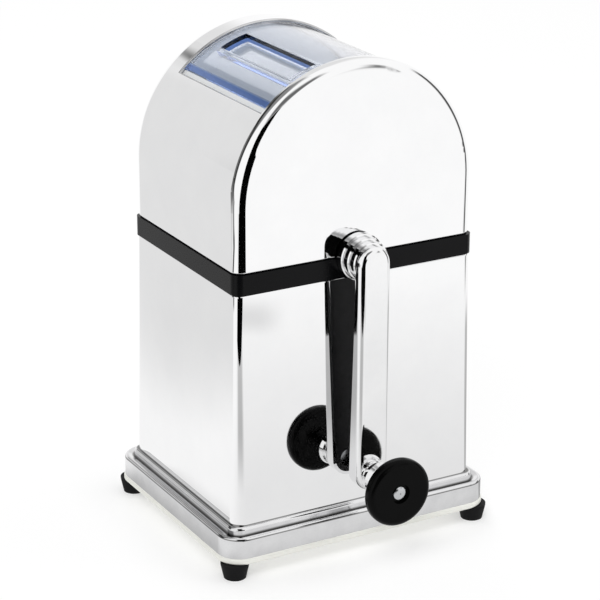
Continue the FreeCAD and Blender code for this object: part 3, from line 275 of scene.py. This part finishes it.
CLEAR_TINT = "#fdfdff"
lid_acrylic = clear_plastic("lid_clear_blue_acrylic", CLEAR_TINT, "#7aa0e6", 7.0, 0.03)
bin_san = clear_plastic("bin_frosted_san", "#f2f6f7", "#b9d2dc", 12.0, 0.3)
print("clear finishes:", lid_acrylic.name, bin_san.name)

# %% [markdown]
# ## Colour at the edges of the lid
# A sheet that is dyed through gathers its colour where light has run along inside it: at the walls of
# the finger recess, at the cut edges, and along the thick bar that the hand pushes. Those places are
# found from the sheet's own shape. On the arch a face that looks straight out is open sheet, and a
# face that looks any other way is a wall. The dot product of the face's normal with the way out from
# the arch's axis tells them apart: it is 1 on open sheet and 0 on a wall across it. The bar is all
# that lies further round the arch than its bearing.

# %% Edges of the lid
ARCH_AXIS = Vector((0.0, 0.0, 192.5)) * MM
BAR_BEARING = math.radians(40.9)
BAR_BLUR = 0.004
WALL_FACING = 0.71
WALL_BLUR = 0.21
EDGE_BLUE = "#87a6e4"

tree = lid_acrylic.node_tree
coordinates = tree.nodes["Texture Coordinate"]
from_axis = add(tree, "ShaderNodeVectorMath", {"operation": "SUBTRACT"}, i0=coordinates.outputs["Object"],
                i1=ARCH_AXIS)
flat = add(tree, "ShaderNodeVectorMath", {"operation": "MULTIPLY"}, i0=from_axis.outputs["Vector"],
           i1=(1.0, 0.0, 1.0))
outward = add(tree, "ShaderNodeVectorMath", {"operation": "NORMALIZE"}, i0=flat.outputs["Vector"])
facing = add(tree, "ShaderNodeVectorMath", {"operation": "DOT_PRODUCT"}, i0=outward.outputs["Vector"],
             i1=coordinates.outputs["Normal"])
open_sheet = add(tree, "ShaderNodeMath", {"operation": "ABSOLUTE"}, i0=facing.outputs["Value"])
wall = step(tree, open_sheet.outputs[0], WALL_FACING, WALL_BLUR, 1.0, 0.0)
sideways = add(tree, "ShaderNodeSeparateXYZ", None, i0=outward.outputs["Vector"])
bar = step(tree, sideways.outputs["X"], -math.sin(BAR_BEARING), BAR_BLUR, 1.0, 0.0)
thick = add(tree, "ShaderNodeMath", {"operation": "MAXIMUM"}, i0=wall, i1=bar)
dyed = add(tree, "ShaderNodeMix", {"data_type": "RGBA"}, Factor=thick.outputs[0], A=linear(CLEAR_TINT),
           B=linear(EDGE_BLUE))
feed(tree, tree.nodes["Principled BSDF"], Base_Color=dyed.outputs["Result"])
print("lid finish:", lid_acrylic.name, len(tree.nodes), "nodes")

# %% [markdown]
# ## Bare metals
# The working parts are bare: ground stainless steel on the wheels, comb and shaft, and turned
# aluminium spacers. Grinding and turning leave fine lines one way, so the noise is squeezed along
# one axis more than along another. Zinc plated screws and sintered bronze bushes have no such
# direction. The lines are drawn wider apart than the real ones, so that they show at all.

# %% Bare metal
LINE_DEPTH = 0.01 * MM
NO_DIRECTION = (1.0, 1.0, 1.0)


def bare_metal(name, shade, roughness, line_mm, squeeze):
    """Metal with machining lines; a squeeze below 1 draws them out along that axis."""
    material, tree, shader, place = new_material(name)
    squeezed = add(tree, "ShaderNodeMapping", None, Vector=place, Scale=squeeze)
    lines = add(tree, "ShaderNodeTexNoise", None, Vector=squeezed.outputs["Vector"],
                Scale=cycles_per_metre(line_mm), Detail=4.0, Roughness=0.7)
    wear = add(tree, "ShaderNodeMapRange", None, Value=lines.outputs["Fac"], To_Min=roughness * 0.7,
               To_Max=roughness * 1.5)
    bump = add(tree, "ShaderNodeBump", None, Height=lines.outputs["Fac"], Strength=1.0, Distance=LINE_DEPTH)
    feed(tree, shader, Metallic=1.0, Base_Color=linear(shade), Roughness=wear.outputs["Result"],
         Normal=bump.outputs["Normal"])
    return material


ground_steel = bare_metal("ground_stainless_steel", "#b9bbbd", 0.28, 0.5, (1.0, 1.0, 0.15))
turned_aluminium = bare_metal("turned_aluminium", "#c9cbcd", 0.32, 0.5, (0.2, 1.0, 0.2))
zinc_steel = bare_metal("zinc_plated_steel", "#b4b7ba", 0.35, 0.8, NO_DIRECTION)
sintered_bronze = bare_metal("sintered_bronze", "#b58a52", 0.42, 0.3, NO_DIRECTION)
print("bare metals:", [m.name for m in (ground_steel, turned_aluminium, zinc_steel, sintered_bronze)])

# %% [markdown]
# ## Finishes on the construction
# Each solid is one piece of one material, so it gets one finish over its whole mesh. A list of
# pieces under each finish reads like a maker's parts list. Only the material slots change here:
# the construction's meshes stay as they are.

# %% Finishes on the construction
FINISHES = {
    housing_plate: ["lower_housing", "upper_housing"],
    casting_plate: ["base_plinth"],
    crank_plate: ["crank_hub", "crank_arm", "knob_collar"],
    black_gloss_abs: ["mechanism_frame"],
    black_satin_abs: ["arm_insert"],
    black_phenolic: ["crank_knob"],
    foot_rubber: ["foot_front_left", "foot_front_right", "foot_rear_left", "foot_rear_right"],
    ivory_abs: ["base_plate"],
    white_abs: ["hopper"],
    grey_abs: ["container_floor"],
    lid_acrylic: ["lid"],
    bin_san: ["ice_bin"],
    ground_steel: ["fixed_comb", "crusher_shaft", "thrust_washer", "retaining_clip", "knob_spindle"],
    turned_aluminium: ["end_spacer_front", "end_spacer_rear"],
    zinc_steel: ["foot_screws", "floor_screws", "comb_screws", "shell_screws", "hopper_screws",
                 "hub_grub_screw"],
    sintered_bronze: ["front_bush", "rear_bush"],
}
FINISHES[ground_steel] += [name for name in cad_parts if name.startswith("crusher_wheel_")]
FINISHES[turned_aluminium] += [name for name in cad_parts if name.startswith("wheel_spacer_")]

finished = set()
for material, names in FINISHES.items():
    for name in names:
        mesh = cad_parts[name].data
        mesh.materials.clear()
        mesh.materials.append(material)
        finished.add(name)
print("nodes without a finish:", sorted(set(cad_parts) - finished))

# %% [markdown]
# ## Hem of the window
# The cut edge of pressed sheet is sharp, so it is curled into a small bead all round the window. Such
# a bead is a wire of one thickness that follows the opening. A ring is drawn at one corner, spun
# along the arch, turned round the small corner, and drawn out along the straight side, and then the
# same again for the way back. Spinning keeps the section round everywhere, which a bevel on the
# thin shell wouldn't. At the end the last ring lies on the first one and is merged with it.

# %% Window hem
HEM_MIDDLE = 68.1 * MM
HEM_RADIUS = 0.8 * MM
HEM_CORNER = 1.0 * MM
WINDOW_HALF_ANGLE = math.radians(47.4)
WINDOW_FRONT = -31.55 * MM
WINDOW_REAR = 57.45 * MM
QUARTER = math.radians(90)
RING_POINTS = 12
ARCH_STEPS = 48
CORNER_STEPS = 5
MERGE_UNDER = 0.01 * MM


def on_arch(angle, along):
    """A point on the hem's middle line."""
    return ARCH_AXIS + Vector((math.sin(angle) * HEM_MIDDLE, along, math.cos(angle) * HEM_MIDDLE))


def spin(centre, axis, angle, steps):
    """Draw the selected ring round an axis, right-handed, which Blender's own spin isn't."""
    bpy.ops.mesh.spin(steps=steps, angle=-angle, center=centre, axis=axis)


def close_up():
    """Merge doubled points, turn all faces outwards and leave edit mode."""
    bpy.ops.mesh.select_all(action="SELECT")
    bpy.ops.mesh.remove_doubles(threshold=MERGE_UNDER)
    bpy.ops.mesh.normals_make_consistent(inside=False)
    bpy.ops.object.mode_set(mode="OBJECT")


# The hem's plate is tinted dark grey: a painted shade that draws a dark line all round the window.
hem_shade_plate = plated_steel("hem_plate_on_pressed_steel", "#6f6f72", 9.0, 0.01, 0.10)
end_angle = WINDOW_HALF_ANGLE - HEM_CORNER / HEM_MIDDLE
bpy.ops.object.select_all(action="DESELECT")
bpy.ops.mesh.primitive_circle_add(vertices=RING_POINTS, radius=HEM_RADIUS,
                                  location=on_arch(-end_angle, WINDOW_FRONT),
                                  rotation=(0, QUARTER - end_angle, 0))
window_hem = bpy.context.object
window_hem.name = "window_hem"
bpy.ops.object.transform_apply(location=True, rotation=True, scale=True)
bpy.ops.object.mode_set(mode="EDIT")
bpy.ops.mesh.select_all(action="SELECT")
there = (end_angle, WINDOW_FRONT, WINDOW_REAR)
back = (-end_angle, WINDOW_REAR, WINDOW_FRONT)
for angle, along, next_along in (there, back):
    inward = math.copysign(HEM_CORNER, next_along - along)
    straight = (0, next_along - along - 2 * inward, 0)
    outward = on_arch(angle, 0) - ARCH_AXIS
    spin(ARCH_AXIS, (0, 1, 0), 2 * angle, ARCH_STEPS)
    spin(on_arch(angle, along + inward), outward, QUARTER, CORNER_STEPS)
    bpy.ops.mesh.extrude_region_move(TRANSFORM_OT_translate={"value": straight})
    spin(on_arch(angle, next_along - inward), outward, QUARTER, CORNER_STEPS)
close_up()
bpy.ops.object.shade_smooth()
window_hem.data.materials.append(hem_shade_plate)
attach(window_hem, "head")
spots = [vertex.co / MM for vertex in window_hem.data.vertices]
print("window hem:", len(window_hem.data.polygons), "faces from",
      [round(min(spot[i] for spot in spots), 1) for i in range(3)], "to",
      [round(max(spot[i] for spot in spots), 1) for i in range(3)])

# %% [markdown]
# ## Rivet end of the knob's spindle
# The knob turns on a spindle whose end is riveted over: a hammer or a spinning tool spreads it into a
# low dome. The dome is a profile spun round the knob's axis. The profile starts at the foot, where it
# has a short upright wall, and ends at the middle of the crown. Its last point is joined to its first,
# so the spin also makes a cone that closes the dome from below, inside the spindle. Each point is a
# radius and a depth behind the knob's face, in millimetres.

# %% Rivet dome
KNOB_AXIS = Vector((0.0, 0.0, 47.2)) * MM
KNOB_FACE = -84.55
DOME_PROFILE = ((3.6, 1.74), (3.6, 1.1), (3.52, 1.02), (3.3, 0.9), (2.8, 0.72), (2.1, 0.55), (1.3, 0.45),
                (0.6, 0.41), (0.0, 0.4))
DOME_STEPS = 40
SMOOTH_UNDER = math.radians(35)

polished_steel = bare_metal("polished_rivet_steel", "#c9cbcd", 0.16, 0.4, NO_DIRECTION)
bpy.ops.object.select_all(action="DESELECT")
bpy.ops.mesh.primitive_circle_add(vertices=len(DOME_PROFILE), radius=1 * MM, location=(0, 0, 0))
rivet_dome = bpy.context.object
rivet_dome.name = "rivet_dome"
for vertex, (radius, behind_face) in zip(rivet_dome.data.vertices, DOME_PROFILE):
    vertex.co = KNOB_AXIS + Vector((radius, KNOB_FACE + behind_face, 0)) * MM
bpy.ops.object.mode_set(mode="EDIT")
bpy.ops.mesh.select_all(action="SELECT")
spin(KNOB_AXIS, (0, 1, 0), 4 * QUARTER, DOME_STEPS)
close_up()
bpy.ops.object.shade_smooth_by_angle(angle=SMOOTH_UNDER)
rivet_dome.data.materials.append(polished_steel)
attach(rivet_dome, "crank")
print("rivet dome:", len(rivet_dome.data.polygons), "faces")

# %% [markdown]
# ## Studio
# A plated object shows little but its room, so the room is designed for it. White metal on a white
# ground has no edges of its own, and in a studio black and grey cards are hung round it, just out of
# view: each rounded edge squeezes a card into one dark line. Here the cards aren't objects.
# They are drawn into the surroundings, for mirrors only, from one table of bearings and heights.
# Bearings are in degrees, 0 in front of the crank side, 90 to the left, -90 to the right.

# %% Card table
NEAR_CORNER = (-0.069, -0.0385)
FAR_CORNER = (0.069, -0.0385)
EVERYWHERE = (-90, 90)

# Each card: corner it is hung about, heights between which its edges lean, left edge and right edge
# at those heights, lowest and highest height, blur sideways, blur in height, darkness.
CARDS = {
    "grey_before_front": (NEAR_CORNER, EVERYWHERE, (-6, -6), (50, 50), (-50, -20), 12.0, 11.0, 0.44),
    "soft_edge_in_front": (NEAR_CORNER, EVERYWHERE, (-31, -31), (-10, -10), (-24, -21.4), 1.6, 1.2, 0.20),
    "grey_above_front": (NEAR_CORNER, (30, 46), (8, -14), (41, 47), (31, 62), 9.0, 9.0, 0.86),
    "line_low_left": (NEAR_CORNER, (-21, -18.6), (98, 82), (114, 98), (-22.3, -17.5), 2.5, 0.6, 0.90),
    "line_to_the_left": (NEAR_CORNER, (-9, 0), (85, 108), (100, 128), (-18, 30), 3.0, 1.0, 0.72),
    "grey_to_the_left": (NEAR_CORNER, (-18, 0), (92, 108), (122, 145), (-14, 40), 4.0, 9.0, 0.80),
    "grey_above_left": (NEAR_CORNER, (24, 44), (112, 100), (150, 172), (25, 74), 8.0, 8.0, 0.70),
    "leaning_line_right": (FAR_CORNER, (-20, 24), (-64, -101), (-47, -80), (-22, 25), 5.0, 4.0, 0.93),
    "soft_line_right": (FAR_CORNER, (-8, 24), (-31, -46), (-25, -38), (3, 27), 5.0, 8.0, 0.85),
    "grey_wall_right": (FAR_CORNER, (-80, -26), (-150, -120), (-92, -60), (-90, -27), 6.0, 3.0, 0.46),
    "far_grey_left": (NEAR_CORNER, EVERYWHERE, (112, 112), (163, 163), (-34, 90), 5.0, 11.0, 0.225),
    "dark_above_left": (NEAR_CORNER, EVERYWHERE, (136, 136), (173, 173), (28, 46), 4.0, 1.0, 0.86),
    "dim_ceiling_left": (NEAR_CORNER, EVERYWHERE, (163, 163), (190, 190), (24, 72), 3.0, 5.0, 0.24),
    "dim_ceiling_right": (NEAR_CORNER, EVERYWHERE, (-190, -190), (-128, -128), (24, 72), 14.0, 5.0, 0.22),
}
print("cards:", ", ".join(CARDS))

# %% [markdown]
# A card is a range of bearings and heights, and its blurred edges are smooth steps. In the world
# material the mirrored direction gives both angles. On the floor they are reckoned for the floor
# point itself, about the corner that mirrors it and from a little height above the floor, so that a
# card goes on from the world to the floor. Where a card covers a place, it takes its darkness off
# the brightness behind it.

# %% Drawing the cards
FLOOR_EYE = 0.17


def leaning(tree, height, heights, bearings):
    """The bearing of a card's edge, which leans between two heights."""
    made = add(tree, "ShaderNodeMapRange", None, Value=height, From_Min=heights[0], From_Max=heights[1],
               To_Min=bearings[0], To_Max=bearings[1])
    return made.outputs["Result"]


def bearing_and_height(tree, vector, about):
    """Where a direction or, about a corner, a point on the floor lies, in degrees."""
    if about:
        vector = add(tree, "ShaderNodeVectorMath", {"operation": "SUBTRACT"}, i0=vector,
                     i1=(*about, 0.0)).outputs["Vector"]
    flipped = add(tree, "ShaderNodeVectorMath", {"operation": "SCALE"}, i0=vector, Scale=-1.0)
    parts = add(tree, "ShaderNodeSeparateXYZ", None, i0=flipped.outputs["Vector"])
    bearing = add(tree, "ShaderNodeMath", {"operation": "ARCTAN2"}, i0=parts.outputs["X"],
                  i1=parts.outputs["Y"])
    if about:
        reach = add(tree, "ShaderNodeVectorMath", {"operation": "LENGTH"}, i0=vector)
        ratio = add(tree, "ShaderNodeMath", {"operation": "DIVIDE"}, i0=-FLOOR_EYE, i1=reach.outputs["Value"])
        height = add(tree, "ShaderNodeMath", {"operation": "ARCTANGENT"}, i0=ratio.outputs[0])
    else:
        down = add(tree, "ShaderNodeMath", {"operation": "ARCSINE"}, i0=parts.outputs["Z"])
        height = add(tree, "ShaderNodeMath", {"operation": "MULTIPLY"}, i0=down.outputs[0], i1=-1.0)
    return [add(tree, "ShaderNodeMath", {"operation": "DEGREES"}, i0=angle.outputs[0]).outputs[0]
            for angle in (bearing, height)]


def behind_cards(tree, vector, level, on_floor):
    """The brightness that is left of a level behind all the cards."""
    seen = {}
    for about, heights, left, right, between, side_blur, height_blur, darkness in CARDS.values():
        corner = about if on_floor else None
        if corner not in seen:
            seen[corner] = bearing_and_height(tree, vector, corner)
        bearing, height = seen[corner]
        from_left, from_right = [
            add(tree, "ShaderNodeMath", {"operation": "SUBTRACT"}, i0=bearing,
                i1=leaning(tree, height, heights, bearings)).outputs[0] for bearings in (left, right)]
        cover = step(tree, from_left, 0.0, side_blur)
        for limit in (step(tree, from_right, 0.0, side_blur, 1.0, 0.0),
                      step(tree, height, between[0], height_blur),
                      step(tree, height, between[1], height_blur, darkness, 0.0)):
            cover = add(tree, "ShaderNodeMath", {"operation": "MULTIPLY"}, i0=cover, i1=limit).outputs[0]
        clear = add(tree, "ShaderNodeMath", {"operation": "SUBTRACT"}, i0=1.0, i1=cover).outputs[0]
        level = add(tree, "ShaderNodeMath", {"operation": "MULTIPLY"}, i0=level, i1=clear).outputs[0]
    return level


# %% [markdown]
# Behind the cards the surroundings are almost white. Every upright side mirrors the floor, because
# the camera looks down on it, so the floor has its own slow change: darkest where the object's foot
# shades it, a little brighter on the left, and level with the world far away, so that no horizon
# line crosses the curved top. The levels are strengths of light, where 1 is white, and each pair
# is for the front right and the back left. Distances are metres from the outline of the foot.

# %% Levels
TO_BACK_LEFT = Vector((-0.5, 0.866, 0.0))
SIDE_BLUR = 0.12
NEAR_LEVELS = (0.78, 0.97)
FAR_LEVEL = 1.02
FAR_FLOOR = 0.42
FOOT_MIDDLE = (0.0, 0.0177, 0.0)
FOOT_HALF = (0.0797, 0.0669, 1.0)
FOOT_LEVELS = (0.60, 0.44)
FOOT_SHADE = (0.002, 0.032)
print("levels near the foot:", FOOT_LEVELS, "on the floor:", NEAR_LEVELS, "far away:", FAR_LEVEL)

# %% [markdown]
# To the eye the floor is plain white paper that keeps the object's soft shadow. Near the foot it is
# mostly lit by the lamps, so that the shadow shows, and away from it it mostly glows by itself, so
# that it stays evenly white. Mirrors see the levels and the cards instead.

# %% Floor
FLOOR_SIZE = 14
SHADOW_REACH = 0.018
PAPER_NEAR, PAPER_AWAY = "#d2d2d2", "#7c7c7c"
GLOW_NEAR, GLOW_AWAY = 0.40, 0.82

bpy.ops.object.select_all(action="DESELECT")
bpy.ops.mesh.primitive_plane_add(size=FLOOR_SIZE, location=(0, 0, 0))
floor = bpy.context.object
floor.name = "floor"
floor_paint, tree, shader, place = new_material("floor_white_paper")
tree.nodes.remove(shader)
path = tree.nodes.new("ShaderNodeLightPath")
from_middle = add(tree, "ShaderNodeVectorMath", {"operation": "SUBTRACT"}, i0=place, i1=FOOT_MIDDLE)
one_side = add(tree, "ShaderNodeVectorMath", {"operation": "ABSOLUTE"}, i0=from_middle.outputs["Vector"])
past_foot = add(tree, "ShaderNodeVectorMath", {"operation": "SUBTRACT"}, i0=one_side.outputs["Vector"],
                i1=FOOT_HALF)
outside = add(tree, "ShaderNodeVectorMath", {"operation": "MAXIMUM"}, i0=past_foot.outputs["Vector"],
              i1=(0, 0, 0))
distance = add(tree, "ShaderNodeVectorMath", {"operation": "LENGTH"}, i0=outside.outputs["Vector"])
away = step(tree, distance.outputs["Value"], SHADOW_REACH, SHADOW_REACH)
paper_shade = add(tree, "ShaderNodeMix", {"data_type": "RGBA"}, Factor=away, A=linear(PAPER_NEAR),
                  B=linear(PAPER_AWAY))
paper_glow = add(tree, "ShaderNodeMix", {"data_type": "FLOAT"}, Factor=away, A=GLOW_NEAR, B=GLOW_AWAY)
paper = add(tree, "ShaderNodeBsdfDiffuse", None, Color=paper_shade.outputs["Result"])
glow = add(tree, "ShaderNodeEmission", None, Strength=paper_glow.outputs["Result"])
to_eye = add(tree, "ShaderNodeAddShader", None, i0=paper.outputs[0], i1=glow.outputs[0])
side = add(tree, "ShaderNodeVectorMath", {"operation": "DOT_PRODUCT"}, i0=place, i1=TO_BACK_LEFT)
far = add(tree, "ShaderNodeMapRange", None, Value=distance.outputs["Value"], From_Max=FAR_FLOOR)
beyond_foot = add(tree, "ShaderNodeMix", {"data_type": "FLOAT"}, Factor=far.outputs["Result"],
                  A=step(tree, side.outputs["Value"], 0.0, SIDE_BLUR, *NEAR_LEVELS), B=FAR_LEVEL)
foot_blur = (FOOT_SHADE[1] - FOOT_SHADE[0]) / 2
clear_of_foot = step(tree, distance.outputs["Value"], FOOT_SHADE[0] + foot_blur, foot_blur)
mirrored = add(tree, "ShaderNodeMix", {"data_type": "FLOAT"}, Factor=clear_of_foot,
               A=step(tree, side.outputs["Value"], 0.0, SIDE_BLUR, *FOOT_LEVELS),
               B=beyond_foot.outputs["Result"])
mirror_level = behind_cards(tree, place, mirrored.outputs["Result"], True)
to_mirror = add(tree, "ShaderNodeEmission", None, Strength=mirror_level)
floor_look = add(tree, "ShaderNodeMixShader", None, i0=path.outputs["Is Glossy Ray"], i1=to_eye.outputs[0],
                 i2=to_mirror.outputs[0])
feed(tree, tree.nodes["Material Output"], Surface=floor_look.outputs[0])
floor.data.materials.append(floor_paint)
print("floor nodes:", len(tree.nodes))

# %% [markdown]
# The world is white to the camera and through clear plastic, and lights the object with about half
# of that, so that pale surfaces keep their shading. Mirrors see the far level and the cards.

# %% World
WORLD_WHITE = 1.0
WORLD_LIGHT = 0.55

world = bpy.data.worlds.new("studio_world")
bpy.context.scene.world = world
world.use_nodes = True
tree = world.node_tree
tree.nodes.clear()
path = tree.nodes.new("ShaderNodeLightPath")
direction = tree.nodes.new("ShaderNodeTexCoord").outputs["Generated"]
eye = add(tree, "ShaderNodeMath", {"operation": "MAXIMUM"}, i0=path.outputs["Is Camera Ray"],
          i1=path.outputs["Is Transmission Ray"])
plain = add(tree, "ShaderNodeMapRange", None, Value=eye.outputs[0], To_Min=WORLD_LIGHT, To_Max=WORLD_WHITE)
level = add(tree, "ShaderNodeMix", {"data_type": "FLOAT"}, Factor=path.outputs["Is Glossy Ray"],
            A=plain.outputs["Result"], B=behind_cards(tree, direction, FAR_LEVEL, False))
light = add(tree, "ShaderNodeBackground", None, Color=(1, 1, 1, 1), Strength=level.outputs["Result"])
output = tree.nodes.new("ShaderNodeOutputWorld")
feed(tree, output, Surface=light.outputs[0])
print("world nodes:", len(tree.nodes))

# %% [markdown]
# Three large soft lamps give the black plastic and the rubber their shape: a key from the front
# left, a weaker fill from the right, and a rim from behind. They are hidden from mirrors, because
# the plate already has its cards, and a bright square on it would give the lamp away.

# %% Lamps
BODY_MIDDLE = Vector((0, 0, 0.12))
BODY_TOP = Vector((0, 0, 0.15))


def soft_lamp(name, place, target, size, power):
    """A square area lamp that faces a point and isn't seen in mirrors."""
    bpy.ops.object.light_add(type="AREA", location=place)
    lamp = bpy.context.object
    lamp.name = name
    lamp.data.size = size
    lamp.data.energy = power
    lamp.visible_glossy = False
    lamp.rotation_euler = (target - Vector(place)).to_track_quat("-Z", "Y").to_euler()


soft_lamp("key_lamp", place=(-0.9, -0.9, 1.5), target=BODY_MIDDLE, size=0.9, power=12.0)
soft_lamp("fill_lamp", place=(1.2, -0.5, 1.2), target=BODY_MIDDLE, size=1.2, power=6.0)
soft_lamp("rim_lamp", place=(0.2, 1.3, 1.4), target=BODY_TOP, size=1.0, power=6.0)

# %% [markdown]
# ## The black card
# One card has to be a real object, because the crank and the housing see it from different places. It
# stands a forearm's length from the near corner, wide at its foot and narrow at the top, and gives the
# rounded corner its black band. Only reflections see it. Its outline is given as distances sideways
# from its own middle line and heights above its foot, in metres.

# %% Black card
CARD_BEARING = math.radians(25)
CARD_DISTANCE = 0.31
CARD_LIFT = 0.001
CARD_OUTLINE = ((0.33, 0.0), (0.315, 0.06), (0.28, 0.136), (0.20, 0.18), (0.15, 0.214), (0.13, 0.25),
                (0.115, 0.30), (0.10, 0.37), (0.085, 0.45), (-0.105, 0.45), (-0.10, 0.37), (-0.08, 0.29),
                (-0.065, 0.20), (-0.06, 0.10), (-0.12, 0.05), (-0.18, 0.0))

bpy.ops.object.select_all(action="DESELECT")
bpy.ops.mesh.primitive_circle_add(vertices=len(CARD_OUTLINE), radius=CARD_DISTANCE, fill_type="NGON")
card = bpy.context.object
card.name = "black_card"
card_away = Vector((-math.sin(CARD_BEARING), -math.cos(CARD_BEARING), 0))
card_side = Vector((math.cos(CARD_BEARING), -math.sin(CARD_BEARING), 0))
card_foot = Vector((*NEAR_CORNER, CARD_LIFT)) + card_away * CARD_DISTANCE
for vertex, (sideways, height) in zip(card.data.vertices, CARD_OUTLINE):
    vertex.co = card_foot + card_side * sideways + Vector((0, 0, height))
card_black, tree, shader, _ = new_material("card_black")
feed(tree, shader, Base_Color=linear("#030303"), Roughness=1.0, Specular_IOR_Level=0.0)
card.data.materials.append(card_black)
card.visible_camera = False
card.visible_diffuse = False
card.visible_shadow = False
card.visible_transmission = False
print("black card at", [round(v, 3) for v in card_foot])
